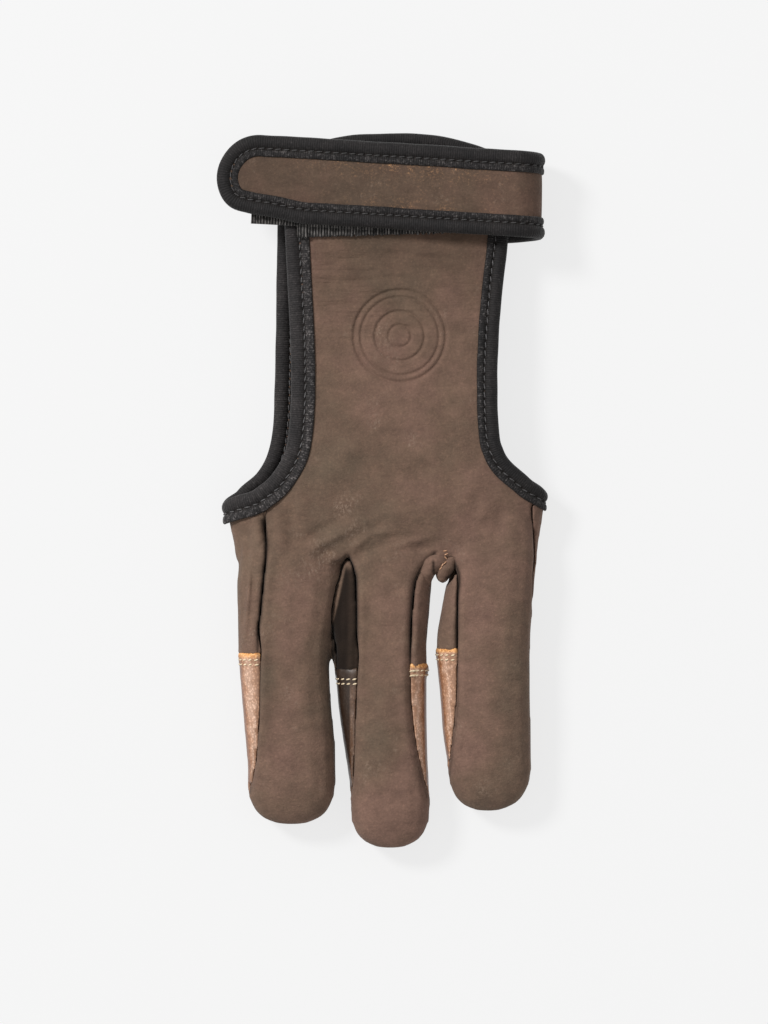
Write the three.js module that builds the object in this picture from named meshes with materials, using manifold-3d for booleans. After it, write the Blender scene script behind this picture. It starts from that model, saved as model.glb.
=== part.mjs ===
// Three-finger archery glove in leather, lying palm down with the back of the hand up.
// Millimetres, +Z up, +Y from the fingertips to the wrist. The fork of the fingers is at Y 0.
import * as THREE from "three";
import { mergeVertices } from "three/addons/utils/BufferGeometryUtils.js";
import Module from "manifold-3d";

// Leather, tape and the clearance that neighbouring pieces keep
const leather = 1.3;
const clearance = 0.3;
const tapeWidth = 6;
const tapeThick = 3.4;

// Hand
const handLength = 115.2;
const handLeft = 44;
const handRight = 45;
const knuckleHeight = 16.5;
const wristHeight = 13;
const wristLift = 1.2;
const backHalf = 29.4;
const palmHalf = 28.6;

// Fingers
const fingerWidth = 26;
const fingerHeight = 16;
const leftPitch = 27.4;
const rightPitch = 28.4;
const leftLength = 74.4;
const middleLength = 81;
const rightLength = 70.6;
const leftTip = 47;
const middleTip = 49.5;
const rightTip = 44.6;

// Strap, loop band and hook patch
const strapWidth = 24;
const strapReach = 46.2;
const strapFold = 45.2;
const strapBelow = 15;
const strapAt = handLength - strapBelow;
const strapSlope = 0.0615;
const strapDroop = 2.2;
const tongueLap = 10;
const tongueNarrow = 2.5;
const bandThick = 1.2;
const bandWidth = 14;
const bandLeft = 20.5;
const bandRight = 27.5;
const bandAbove = 2.8;
const patchThick = 0.9;
const patchLength = 34;
const patchWidth = 23;
const patchDrop = 1;
const patchPast = 3;

// The back panel ends just beyond the middle of the strap, with the top of the loop band
const backLength = strapAt + bandAbove;

// Gusset between the middle and the right finger
const gussetWidth = 8.4;
const gussetLength = 8.6;
const gussetHeight = 11;
const gussetAt = 17.4;
const gussetBelow = 2.9;
const gussetCentre = 8.6;

// How round the sections are, where their widest point lies, and how far the underside is pressed flat
const roundness = 2.6;
const sideShare = 0.43;
const pressed = 0.35;

// Hand sections from the fork, along 0, to the wrist edge, along 1.
// left and right are shares of handLeft and handRight, knuckle and wrist shares of the two heights,
// lift a share of wristLift.
const handRows = [
  { along: -0.01, left: 0.930, right: 0.950, knuckle: 0.84, wrist: 0, lift: 0 },
  { along: 0.03, left: 0.945, right: 0.962, knuckle: 0.90, wrist: 0, lift: 0 },
  { along: 0.07, left: 0.965, right: 0.978, knuckle: 0.96, wrist: 0, lift: 0 },
  { along: 0.12, left: 1.000, right: 1.000, knuckle: 1.00, wrist: 0, lift: 0 },
  { along: 0.20, left: 1.000, right: 1.000, knuckle: 1.00, wrist: 0, lift: 0 },
  { along: 0.30, left: 1.000, right: 1.000, knuckle: 0.96, wrist: 0.03, lift: 0 },
  { along: 0.50, left: 1.000, right: 1.000, knuckle: 0.60, wrist: 0.40, lift: 0 },
  { along: 0.72, left: 1.000, right: 1.000, knuckle: 0.10, wrist: 0.90, lift: 0.1 },
  { along: 0.88, left: 1.000, right: 1.000, knuckle: 0, wrist: 1.00, lift: 0.8 },
  { along: 1.06, left: 1.000, right: 1.000, knuckle: 0, wrist: 1.00, lift: 1.0 },
];

// Side openings, from the wrist down to the side of the knuckles. front is the edge of the back panel,
// rear the edge of the palm panel, both as shares of backHalf and palmHalf. The last row is the side itself.
const leftOpening = [
  { along: 0.895, front: 0.850, rear: 0.930 },
  { along: 0.720, front: 0.820, rear: 0.940 },
  { along: 0.560, front: 0.785, rear: 0.950 },
  { along: 0.428, front: 0.772, rear: 0.958 },
  { along: 0.311, front: 0.789, rear: 0.980 },
  { along: 0.240, front: 0.845, rear: 1.035 },
  { along: 0.185, front: 0.970, rear: 1.160 },
  { along: 0.150, front: 1.115, rear: 1.320 },
  { along: 0.126, front: 1.290, rear: 1.430 },
];
const rightOpening = [
  { along: 0.895, front: 1.140, rear: 1.130 },
  { along: 0.768, front: 1.105, rear: 1.090 },
  { along: 0.627, front: 1.044, rear: 1.040 },
  { along: 0.451, front: 1.000, rear: 0.995 },
  { along: 0.300, front: 1.014, rear: 1.010 },
  { along: 0.250, front: 1.060, rear: 1.060 },
  { along: 0.213, front: 1.153, rear: 1.160 },
  { along: 0.180, front: 1.296, rear: 1.300 },
  { along: 0.156, front: 1.420, rear: 1.440 },
];
const leftSide = 0.108;
const rightSide = 0.136;
const leftRearEnd = 0.9;
const rightRearEnd = 0.77;

// Wrist edge of the palm panel: across is a share of palmHalf, along a share of handLength
const wristRows = [
  { across: -1.00, along: 0.930 },
  { across: -0.80, along: 0.962 },
  { across: -0.45, along: 0.990 },
  { across: -0.05, along: 1.000 },
  { across: 0.45, along: 0.997 },
  { across: 0.85, along: 0.976 },
  { across: 1.12, along: 0.950 },
];

// Finger sections from the fork to the end, along a share of each finger's length. drift is the
// centre's way to the right and half the half width, both shares of fingerWidth. seamLeft and
// seamRight are where the back panel ends, as shares of the half width.
const leftRows = [
  { along: -0.28, drift: 0.030, half: 0.500, seamLeft: -0.50, seamRight: 1.15 },
  { along: 0.00, drift: 0.060, half: 0.545, seamLeft: -0.46, seamRight: 1.05 },
  { along: 0.05, drift: 0.066, half: 0.578, seamLeft: -0.474, seamRight: 0.936 },
  { along: 0.11, drift: 0.048, half: 0.563, seamLeft: -0.481, seamRight: 0.884 },
  { along: 0.20, drift: 0.027, half: 0.535, seamLeft: -0.518, seamRight: 0.881 },
  { along: 0.27, drift: 0.008, half: 0.514, seamLeft: -0.54, seamRight: 0.948 },
  { along: 0.35, drift: -0.010, half: 0.490, seamLeft: -0.545, seamRight: 1.15 },
  { along: 0.50, drift: 0.000, half: 0.477, seamLeft: -0.60, seamRight: 1.15 },
  { along: 0.61, drift: 0.030, half: 0.479, seamLeft: -0.68, seamRight: 1.15 },
  { along: 0.79, drift: 0.065, half: 0.484, seamLeft: -0.82, seamRight: 1.15 },
  { along: 0.88, drift: 0.070, half: 0.457, seamLeft: -0.95, seamRight: 1.15 },
  { along: 0.925, drift: 0.070, half: 0.422, seamLeft: -1.15, seamRight: 1.15 },
  { along: 0.965, drift: 0.070, half: 0.350, seamLeft: -1.25, seamRight: 1.25 },
  { along: 0.985, drift: 0.070, half: 0.265, seamLeft: -1.40, seamRight: 1.40 },
  { along: 1.00, drift: 0.070, half: 0.120, seamLeft: -1.80, seamRight: 1.80 },
];
const middleRows = [
  { along: -0.26, drift: 0.020, half: 0.480, seamLeft: -1.15, seamRight: 1.05 },
  { along: 0.00, drift: 0.060, half: 0.490, seamLeft: -0.98, seamRight: 0.90 },
  { along: 0.03, drift: 0.062, half: 0.485, seamLeft: -0.805, seamRight: 0.73 },
  { along: 0.062, drift: 0.045, half: 0.487, seamLeft: -0.70, seamRight: 0.66 },
  { along: 0.152, drift: -0.003, half: 0.514, seamLeft: -0.539, seamRight: 0.627 },
  { along: 0.26, drift: -0.038, half: 0.517, seamLeft: -0.468, seamRight: 0.647 },
  { along: 0.32, drift: -0.046, half: 0.510, seamLeft: -0.46, seamRight: 0.655 },
  { along: 0.41, drift: -0.021, half: 0.489, seamLeft: -0.569, seamRight: 0.627 },
  { along: 0.55, drift: -0.002, half: 0.470, seamLeft: -0.672, seamRight: 0.662 },
  { along: 0.70, drift: 0.030, half: 0.450, seamLeft: -0.804, seamRight: 0.77 },
  { along: 0.81, drift: 0.060, half: 0.440, seamLeft: -0.94, seamRight: 0.93 },
  { along: 0.89, drift: 0.073, half: 0.418, seamLeft: -1.15, seamRight: 1.15 },
  { along: 0.955, drift: 0.078, half: 0.350, seamLeft: -1.25, seamRight: 1.25 },
  { along: 0.985, drift: 0.078, half: 0.250, seamLeft: -1.40, seamRight: 1.40 },
  { along: 1.00, drift: 0.078, half: 0.120, seamLeft: -1.80, seamRight: 1.80 },
];
const rightRows = [
  { along: -0.30, drift: 0.02, half: 0.500, seamLeft: -0.62, seamRight: 0.93 },
  { along: 0.00, drift: 0.07, half: 0.490, seamLeft: -1.05, seamRight: 0.92 },
  { along: 0.02, drift: 0.068, half: 0.486, seamLeft: -0.87, seamRight: 0.925 },
  { along: 0.05, drift: 0.06, half: 0.480, seamLeft: -0.766, seamRight: 0.93 },
  { along: 0.12, drift: 0.062, half: 0.474, seamLeft: -0.72, seamRight: 0.94 },
  { along: 0.21, drift: 0.024, half: 0.490, seamLeft: -0.64, seamRight: 0.97 },
  { along: 0.36, drift: -0.022, half: 0.505, seamLeft: -0.52, seamRight: 1.15 },
  { along: 0.50, drift: -0.003, half: 0.484, seamLeft: -0.60, seamRight: 1.15 },
  { along: 0.65, drift: 0.008, half: 0.474, seamLeft: -0.69, seamRight: 1.15 },
  { along: 0.83, drift: 0.050, half: 0.446, seamLeft: -0.95, seamRight: 1.15 },
  { along: 0.92, drift: 0.048, half: 0.393, seamLeft: -1.15, seamRight: 1.15 },
  { along: 0.965, drift: 0.040, half: 0.315, seamLeft: -1.25, seamRight: 1.25 },
  { along: 0.985, drift: 0.035, half: 0.235, seamLeft: -1.40, seamRight: 1.40 },
  { along: 1.00, drift: 0.030, half: 0.115, seamLeft: -1.80, seamRight: 1.80 },
];

// Height of a finger from the fork to its end: high and low as shares of fingerHeight
const fingerRows = [
  { along: -0.30, high: 0.80, low: 0.02 },
  { along: -0.12, high: 0.96, low: 0 },
  { along: 0.02, high: 1.00, low: 0 },
  { along: 0.30, high: 0.99, low: 0 },
  { along: 0.70, high: 0.96, low: 0 },
  { along: 0.86, high: 0.90, low: 0.01 },
  { along: 0.94, high: 0.79, low: 0.06 },
  { along: 0.98, high: 0.66, low: 0.14 },
  { along: 1.00, high: 0.56, low: 0.22 },
];

// Soft folds over the knuckles. across is a share of handRight, along of handLength, turn the way
// the fold runs in degrees, length and width shares of fingerWidth, rise a share of leather.
const folds = [
  { across: -0.32, along: 0.050, turn: 28, length: 0.42, width: 0.12, rise: 0.7 },
  { across: -0.08, along: 0.045, turn: 26, length: 0.40, width: 0.11, rise: 0.6 },
  { across: -0.24, along: 0.110, turn: 24, length: 0.60, width: 0.18, rise: -0.6 },
  { across: -0.62, along: 0.090, turn: 96, length: 0.50, width: 0.16, rise: -0.7 },
  { across: -0.52, along: 0.100, turn: 84, length: 0.45, width: 0.14, rise: 0.5 },
  { across: 0.38, along: 0.230, turn: 70, length: 0.70, width: 0.22, rise: 0.5 },
];

const fingers = [
  { name: "left", centre: -leftPitch, length: leftLength, tip: leftTip, rows: leftRows },
  { name: "middle", centre: 0, length: middleLength, tip: middleTip, rows: middleRows },
  { name: "right", centre: rightPitch, length: rightLength, tip: rightTip, rows: rightRows },
];

const far = 200;
const stepsPerRow = 2;
const handSides = 28;
const fingerSides = 16;
const tapeSides = 6;
const tapeSquare = 0.7;
const seamTop = leftOpening[leftOpening.length - 1].along * handLength;
const seamHeight = sideShare * fingerHeight;
const up = new THREE.Vector3(0, 0, 1);
const wasm = await Module();
wasm.setup();

// A closed geometry as a solid, and a solid as a geometry

function solidOf(geometry) {
  const bare = geometry.clone();
  bare.deleteAttribute("normal");
  bare.deleteAttribute("uv");
  const merged = mergeVertices(bare, 1e-4);
  return new wasm.Manifold(new wasm.Mesh({
    numProp: 3,
    vertProperties: new Float32Array(merged.attributes.position.array),
    triVerts: new Uint32Array(merged.index.array),
  }));
}

function geometryOf(solid) {
  const mesh = solid.getMesh();
  const geometry = new THREE.BufferGeometry();
  geometry.setAttribute("position", new THREE.BufferAttribute(new Float32Array(mesh.vertProperties), 3));
  geometry.setIndex(new THREE.BufferAttribute(new Uint32Array(mesh.triVerts), 1));
  geometry.computeVertexNormals();
  return geometry;
}

// A closed solid through rings of points, each ring running anticlockwise seen from the ring before

function loft(rings) {
  const count = rings[0].length;
  const last = (rings.length - 1) * count;
  const faces = [];
  for (let ring = 0; ring < rings.length - 1; ring += 1) {
    for (let i = 0; i < count; i += 1) {
      const a = ring * count + i;
      const b = ring * count + (i + 1) % count;
      faces.push(a, a + count, b, b, a + count, b + count);
    }
  }
  for (let i = 1; i < count - 1; i += 1) {
    faces.push(0, i, i + 1);
    faces.push(last, last + i + 1, last + i);
  }
  const geometry = new THREE.BufferGeometry().setFromPoints(rings.flat());
  geometry.setIndex(faces);
  return solidOf(geometry);
}

// A column of a table as a smooth or a straight-lined function of another column

function smooth(rows, key, column) {
  const curve = new THREE.CubicInterpolant(rows.map((row) => row[key]), rows.map((row) => row[column]), 1);
  return (value) => curve.evaluate(value)[0];
}

function straight(rows, key, column) {
  const curve = new THREE.LinearInterpolant(rows.map((row) => row[key]), rows.map((row) => row[column]), 1);
  return (value) => curve.evaluate(value)[0];
}

function steps(from, to, count) {
  return Array.from({ length: count + 1 }, (_, i) => from + (to - from) * i / count);
}

// An upright prism over a plan outline

function prism(outline, low, high) {
  const shape = new THREE.Shape(outline.map(([x, y]) => new THREE.Vector2(x, y)));
  const geometry = new THREE.ExtrudeGeometry(shape, { depth: high - low, bevelEnabled: false });
  return solidOf(geometry.translate(0, 0, low));
}

function slab(left, right, front, back, low, high) {
  return prism([[left, front], [right, front], [right, back], [left, back]], low, high);
}

// One point on a section of the hand or a finger, grown outwards by grow. Angle 0 is the right side
// and a quarter turn the top.

function sectionPoint(section, angle, grow) {
  const turn = Math.cos(angle);
  const across = Math.sign(turn) * Math.abs(turn) ** (2 / roundness);
  const rise = Math.abs(Math.sin(angle)) ** (2 / roundness);
  const side = section.low + (section.top - section.low) * sideShare;
  const x = section.x + across * ((turn < 0 ? section.left : section.right) + grow);
  const crease = section.crease ? section.crease(x, section.y) : 0;
  const over = side + (section.top - side + grow + crease) * rise;
  const under = Math.max(side - (side - section.low + pressed + grow) * rise, section.low - grow);
  return new THREE.Vector3(x, section.y, Math.sin(angle) >= 0 ? over : under);
}

function sectionRing(section, grow, count) {
  return Array.from({ length: count }, (_, i) => sectionPoint(section, 2 * Math.PI * i / count, grow));
}

// Hand

const handWide = { left: smooth(handRows, "along", "left"), right: smooth(handRows, "along", "right") };
const knucklePart = smooth(handRows, "along", "knuckle");
const wristPart = smooth(handRows, "along", "wrist");
const liftPart = straight(handRows, "along", "lift");

function creaseAt(x, y) {
  let rise = 0;
  for (const fold of folds) {
    const turn = THREE.MathUtils.degToRad(fold.turn);
    const dx = x - fold.across * handRight;
    const dy = y - fold.along * handLength;
    const along = (dx * Math.cos(turn) + dy * Math.sin(turn)) / (fold.length * fingerWidth);
    const across = (dy * Math.cos(turn) - dx * Math.sin(turn)) / (fold.width * fingerWidth);
    rise += fold.rise * leather * Math.exp(-along * along - across * across);
  }
  return rise;
}

function handSection(along) {
  return {
    x: 0,
    y: along * handLength,
    left: handWide.left(along) * handLeft,
    right: handWide.right(along) * handRight,
    top: knucklePart(along) * knuckleHeight + wristPart(along) * wristHeight,
    low: liftPart(along) * wristLift,
    crease: creaseAt,
  };
}

function handSolid(grow, longer) {
  const near = steps(-0.01, 0.23, 5);
  const rest = steps(0.23, 1.06, 5).slice(1);
  const sections = [...near, ...rest].map(handSection);
  sections[0].y -= grow;
  sections[sections.length - 1].y += longer;
  return loft(sections.map((section) => sectionRing(section, grow, handSides)));
}

// Fingers

const fingerHigh = smooth(fingerRows, "along", "high");
const fingerLow = straight(fingerRows, "along", "low");
const fingerSteps = [1, 0.992, 0.975, 0.95, 0.91, 0.84, 0.7, 0.55, 0.41, 0.31, 0.2, 0.1, 0, -0.25];
const seamSteps = [
  1, 0.94, 0.88, 0.81, 0.74, 0.67, 0.6, 0.53, 0.46, 0.39, 0.32, 0.25, 0.18, 0.11, 0.07, 0.03, 0, -0.25,
];

function fingerSolid(finger, grow) {
  const drift = smooth(finger.rows, "along", "drift");
  const half = smooth(finger.rows, "along", "half");
  return loft(fingerSteps.map((along) => sectionRing({
    x: finger.centre + drift(along) * fingerWidth,
    y: -along * (finger.length + grow),
    left: half(along) * fingerWidth,
    right: half(along) * fingerWidth,
    top: fingerHigh(along) * fingerHeight,
    low: fingerLow(along) * fingerHeight,
  }, grow, fingerSides)));
}

function bodySolid(grow, longer = 0) {
  return fingers.reduce((body, finger) => body.add(fingerSolid(finger, grow)), handSolid(grow, longer));
}

const shell = bodySolid(0).subtract(bodySolid(-leather, far));
const looseShell = bodySolid(clearance).subtract(bodySolid(-leather - clearance, far));

// The edge of each side opening as stations on the middle of the leather: down the back panel, round
// the side of the knuckles and up the palm panel

function openingEdge(rows, sideAlong, rearEnd, side) {
  const wide = side < 0 ? handWide.left : handWide.right;
  const reach = side < 0 ? handLeft : handRight;
  const angleOf = (across, along) => {
    const share = Math.min(across / (wide(along) * reach), 1);
    return Math.acos(share ** (roundness / 2));
  };
  const front = rows.map((row) => [angleOf(row.front * backHalf, row.along), row.along]);
  const rear = rows.filter((row) => row.along <= rearEnd)
    .map((row) => [-angleOf(row.rear * palmHalf, row.along), row.along]).reverse();
  const knots = [...front, [0, sideAlong], ...rear].map(([angle, along]) => new THREE.Vector2(angle, along));
  const points = new THREE.SplineCurve(knots).getPoints((knots.length - 1) * stepsPerRow);
  const place = (angle, along) => {
    return sectionPoint(handSection(along), side < 0 ? Math.PI - angle : angle, -leather / 2);
  };
  const spots = points.map((point) => place(point.x, point.y));
  const stations = spots.map((spot, i) => {
    const { x, y } = points[i];
    const round = place(x + 0.02, y).sub(place(x - 0.02, y));
    const normal = new THREE.Vector3(round.z, 0, -round.x).multiplyScalar(side).normalize();
    const ahead = spots[Math.min(i + 1, spots.length - 1)];
    const tangent = ahead.clone().sub(spots[Math.max(i - 1, 0)]).normalize();
    return { spot, tangent, normal };
  });
  return { stations, turn: rows.length * stepsPerRow, side };
}

// What is cut away beyond an opening's edge, moved outwards by shift

function openingCut({ stations, turn, side }, shift) {
  const edge = (part, way) => part.map(({ spot, tangent }) => {
    const away = new THREE.Vector3().crossVectors(tangent, up).multiplyScalar(way);
    if (away.lengthSq() < 0.1) {
      away.set(0, 1, 0);
    }
    away.normalize();
    return [spot.x + shift * away.x, spot.y + shift * away.y];
  });
  const cut = (outline, low, high) => {
    const first = outline[0];
    const end = outline[outline.length - 1];
    return prism([[first[0], far], ...outline, [side * far, end[1]], [side * far, far]], low, high);
  };
  const front = edge(stations.slice(0, turn + 1), -side);
  const rear = edge(stations.slice(turn), side).reverse();
  return cut(front, seamHeight, far).add(cut(rear, -far, seamHeight + 0.001));
}

const leftEdge = openingEdge(leftOpening, leftSide, leftRearEnd, -1);
const rightEdge = openingEdge(rightOpening, rightSide, rightRearEnd, 1);

// Tape or a strip of an oval section along stations

function sweep(stations, width, thick, count) {
  return loft(stations.map(({ spot, tangent, normal }) => {
    const across = new THREE.Vector3().crossVectors(tangent, normal).normalize();
    const proud = new THREE.Vector3().crossVectors(across, tangent).normalize();
    return Array.from({ length: count }, (_, i) => {
      const angle = 2 * Math.PI * (i + 0.5) / count;
      const u = Math.sign(Math.cos(angle)) * Math.abs(Math.cos(angle)) ** tapeSquare * width / 2;
      const v = Math.sign(Math.sin(angle)) * Math.abs(Math.sin(angle)) ** tapeSquare * thick / 2;
      return spot.clone().addScaledVector(across, u).addScaledVector(proud, v);
    });
  }));
}

const aboveFloor = slab(-far, far, -far, far, 0, far);

// The wrist edge of the palm panel

const wristAlong = smooth(wristRows, "across", "along");
const wristEnds = [wristRows[0].across, wristRows[wristRows.length - 1].across];
const wristStations = steps(...wristEnds, 12).map((across) => {
  const y = wristAlong(across) * handLength;
  const slope = (wristAlong(across + 0.02) - wristAlong(across - 0.02)) * handLength / (0.04 * palmHalf);
  return {
    spot: new THREE.Vector3(across * palmHalf, y, wristLift + leather / 2),
    tangent: new THREE.Vector3(1, slope, 0).normalize(),
    normal: new THREE.Vector3(0, 0, -1),
  };
});

function wristCut(shift) {
  const outline = wristStations.map(({ spot }) => [spot.x, spot.y + shift]);
  const first = outline[0];
  const end = outline[outline.length - 1];
  return prism([[-far, first[1]], ...outline, [far, end[1]], [far, far], [-far, far]], -far, far);
}

// Plan of the back panel's seams, grown by grow: the back of the hand and the back of each finger

function fingerBack(finger, grow) {
  const drift = smooth(finger.rows, "along", "drift");
  const half = smooth(finger.rows, "along", "half");
  const seams = ["seamLeft", "seamRight"].map((column) => smooth(finger.rows, "along", column));
  const edges = seams.map((seam, i) => seamSteps.map((along) => {
    const centre = finger.centre + drift(along) * fingerWidth;
    const shift = i === 0 ? -grow : grow;
    return [centre + seam(along) * half(along) * fingerWidth + shift, -along * finger.length];
  }));
  edges.forEach((edge) => {
    edge[0][1] -= leather + 2 * clearance;
  });
  return prism([...edges[1], ...edges[0].reverse()], seamHeight - grow, far);
}

function backRegion(grow, wristEnd) {
  const hand = slab(-far, far, seamTop - grow, wristEnd, seamHeight - grow, far);
  const knuckles = slab(-leftPitch, rightPitch, -2 * leather - grow, seamTop + 1, seamHeight - grow, far);
  return fingers.reduce((region, finger) => region.add(fingerBack(finger, grow)), hand.add(knuckles));
}

const openings = openingCut(leftEdge, 0).add(openingCut(rightEdge, 0));
const panels = shell.subtract(openings);

function tipRegion(finger, shift) {
  return slab(-far, far, -far, finger.tip - finger.length + shift, -far, far);
}

function backLeather() {
  return panels.intersect(backRegion(0, backLength)).subtract(gussetLump(clearance));
}

function palmLeather() {
  const rest = panels.subtract(backRegion(clearance, far)).subtract(wristCut(0));
  const whole = rest.subtract(gussetLump(clearance));
  return fingers.reduce((palm, finger) => {
    return palm.subtract(fingerSolid(finger, clearance).intersect(tipRegion(finger, clearance)));
  }, whole);
}

function tipLeather(finger) {
  const wall = fingerSolid(finger, 0).subtract(fingerSolid(finger, -leather));
  return wall.intersect(tipRegion(finger, 0)).subtract(backRegion(clearance, far));
}

function sideBinding(edge) {
  const slot = looseShell.subtract(openingCut(edge, clearance));
  return sweep(edge.stations, tapeWidth, tapeThick, tapeSides).subtract(slot).intersect(aboveFloor);
}

function wristBinding() {
  const slot = looseShell.subtract(wristCut(clearance));
  return sweep(wristStations, tapeWidth, tapeThick, tapeSides).subtract(slot).intersect(aboveFloor);
}

// Rolled patch in the fork between the middle and the right finger

function gussetLump(grow) {
  const lump = new THREE.SphereGeometry(1, 12, 8);
  lump.scale(gussetWidth / 2 + grow, gussetLength / 2 + grow, gussetHeight / 2 + grow);
  lump.translate(gussetAt, -gussetBelow, gussetCentre);
  return solidOf(lump);
}

function gusset() {
  return gussetLump(0).subtract(bodySolid(-leather, far)).subtract(fingerBack(fingers[1], clearance));
}

// Strap: a ribbon whose middle line starts inside the palm panel, folds round the right side and runs
// over the back of the wrist to its rounded free end

const strapTop = wristHeight + bandThick + patchThick + 3 * clearance + tapeThick / 2;
const strapRear = wristLift + leather + clearance + leather / 2;
const foldRadius = (strapTop - strapRear) / 2;
const foldCentre = strapFold - tapeThick / 2 - foldRadius;
const endRadius = (strapWidth - tapeWidth) / 2;
const endCentre = tapeWidth / 2 + endRadius - strapReach;
const tongueStart = palmHalf * rightOpening[0].rear - tongueLap;
const strapPath = new THREE.Path();
strapPath.moveTo(tongueStart, strapRear);
strapPath.lineTo(foldCentre, strapRear);
strapPath.absarc(foldCentre, strapRear + foldRadius, foldRadius, -Math.PI / 2, Math.PI / 2, false);
strapPath.lineTo(endCentre - endRadius, strapTop);
const strapLength = strapPath.getLength();
const foldStart = foldCentre - tongueStart;
const foldMiddle = foldStart + Math.PI * foldRadius / 2;

function strapPoint(along, across, out = 0) {
  const share = Math.min(along / strapLength, 1);
  const point = strapPath.getPointAt(share);
  const ahead = strapPath.getTangentAt(share);
  const tangent = new THREE.Vector3(ahead.x, strapSlope, ahead.y).normalize();
  const normal = new THREE.Vector3(ahead.y, 0, -ahead.x).normalize();
  const sideways = new THREE.Vector3().crossVectors(tangent, normal).normalize();
  const droop = point.x < 0 && along > foldMiddle ? strapDroop * (point.x / strapReach) ** 2 : 0;
  const y = strapAt + strapSlope * (along - foldMiddle);
  const spot = new THREE.Vector3(point.x, y, point.y - droop);
  return spot.addScaledVector(sideways, across).addScaledVector(normal, out);
}

const endStart = strapLength - endRadius;
const strapRun = [
  ...steps(0, foldStart, 2),
  ...steps(foldStart, foldStart + Math.PI * foldRadius, 7).slice(1),
  ...steps(foldStart + Math.PI * foldRadius, endStart, 6).slice(1),
];
const endRun = steps(0, 0.98, 6).slice(1).map((turn) => Math.PI / 2 * turn);

function ribbon(thick, grow) {
  const middle = strapRun.map((along) => [along, along < foldStart ? endRadius - tongueNarrow : endRadius]);
  const end = endRun.map((turn) => [endStart + Math.sin(turn) * endRadius, Math.cos(turn) * endRadius]);
  return loft([...middle, ...end].map(([along, width]) => {
    return [[1, -1], [1, 1], [-1, 1], [-1, -1]].map(([u, v]) => {
      const tipShift = along > endStart ? grow * Math.sin((along - endStart) / endRadius) : 0;
      return strapPoint(along + tipShift, u * (width + grow), v * thick / 2);
    });
  }));
}

function strapTapeStations() {
  const edge = strapRun.filter((along) => along >= foldStart);
  const places = [
    ...edge.map((along) => [along, -endRadius]),
    ...steps(-0.5, 0.5, 8).slice(1, -1).map((turn) => {
      const angle = Math.PI * turn;
      return [endStart + endRadius * Math.cos(angle), endRadius * Math.sin(angle)];
    }),
    ...edge.reverse().map((along) => [along, endRadius]),
  ];
  const spots = places.map(([along, across]) => strapPoint(along, across));
  return places.map(([along, across], i) => ({
    spot: spots[i],
    tangent: spots[Math.min(i + 1, spots.length - 1)].clone().sub(spots[Math.max(i - 1, 0)]).normalize(),
    normal: strapPoint(along, across, 1).sub(spots[i]).normalize(),
  }));
}

function strapLeather() {
  return ribbon(leather, 0);
}

function strapBinding() {
  return sweep(strapTapeStations(), tapeWidth, tapeThick, tapeSides)
    .subtract(ribbon(leather + 2 * clearance, clearance));
}

function hookPatch() {
  const out = -tapeThick / 2 - clearance - patchThick / 2;
  const from = endStart + patchPast - patchLength;
  return loft(steps(from, from + patchLength, 6).map((along) => {
    return [[-1, -1], [-1, 1], [1, 1], [1, -1]].map(([u, v]) => {
      return strapPoint(along, u * patchWidth / 2 - patchDrop, out + v * patchThick / 2);
    }).reverse();
  }));
}

function loopBand() {
  const strip = slab(-bandLeft, bandRight, backLength - bandWidth, backLength, seamHeight, far);
  return handSolid(clearance + bandThick, far).subtract(handSolid(clearance, far)).intersect(strip);
}

// Materials and the group

const finishes = {
  brown: new THREE.MeshStandardMaterial({ color: 0x6b564a, roughness: 0.85, metalness: 0 }),
  tan: new THREE.MeshStandardMaterial({ color: 0xa87350, roughness: 0.5, metalness: 0 }),
  tape: new THREE.MeshStandardMaterial({ color: 0x26262a, roughness: 0.9, metalness: 0 }),
};

const pieces = [
  { name: "back_leather", solid: backLeather(), finish: "brown" },
  { name: "palm_leather", solid: palmLeather(), finish: "brown" },
  ...fingers.map((finger) => ({ name: `tip_${finger.name}`, solid: tipLeather(finger), finish: "tan" })),
  { name: "gusset", solid: gusset(), finish: "brown" },
  { name: "side_binding_left", solid: sideBinding(leftEdge), finish: "tape" },
  { name: "side_binding_right", solid: sideBinding(rightEdge), finish: "tape" },
  { name: "wrist_binding", solid: wristBinding(), finish: "tape" },
  { name: "strap_leather", solid: strapLeather(), finish: "brown" },
  { name: "strap_binding", solid: strapBinding(), finish: "tape" },
  { name: "loop_band", solid: loopBand(), finish: "tape" },
  { name: "hook_patch", solid: hookPatch(), finish: "tape" },
];

const group = new THREE.Group();
for (const { name, solid, finish } of pieces) {
  const mesh = new THREE.Mesh(geometryOf(solid), finishes[finish].clone());
  mesh.name = name;
  group.add(mesh);
}

// The origin is the middle of the footprint, on the surface that the glove lies on
const footprint = new THREE.Box3().setFromObject(group);
const centre = footprint.getCenter(new THREE.Vector3());
group.position.set(-centre.x, -centre.y, -footprint.min.z);

export default group;
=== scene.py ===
import math

import bmesh
import bpy
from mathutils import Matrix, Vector, noise
from mathutils.bvhtree import BVHTree
from mathutils.kdtree import KDTree


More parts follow.
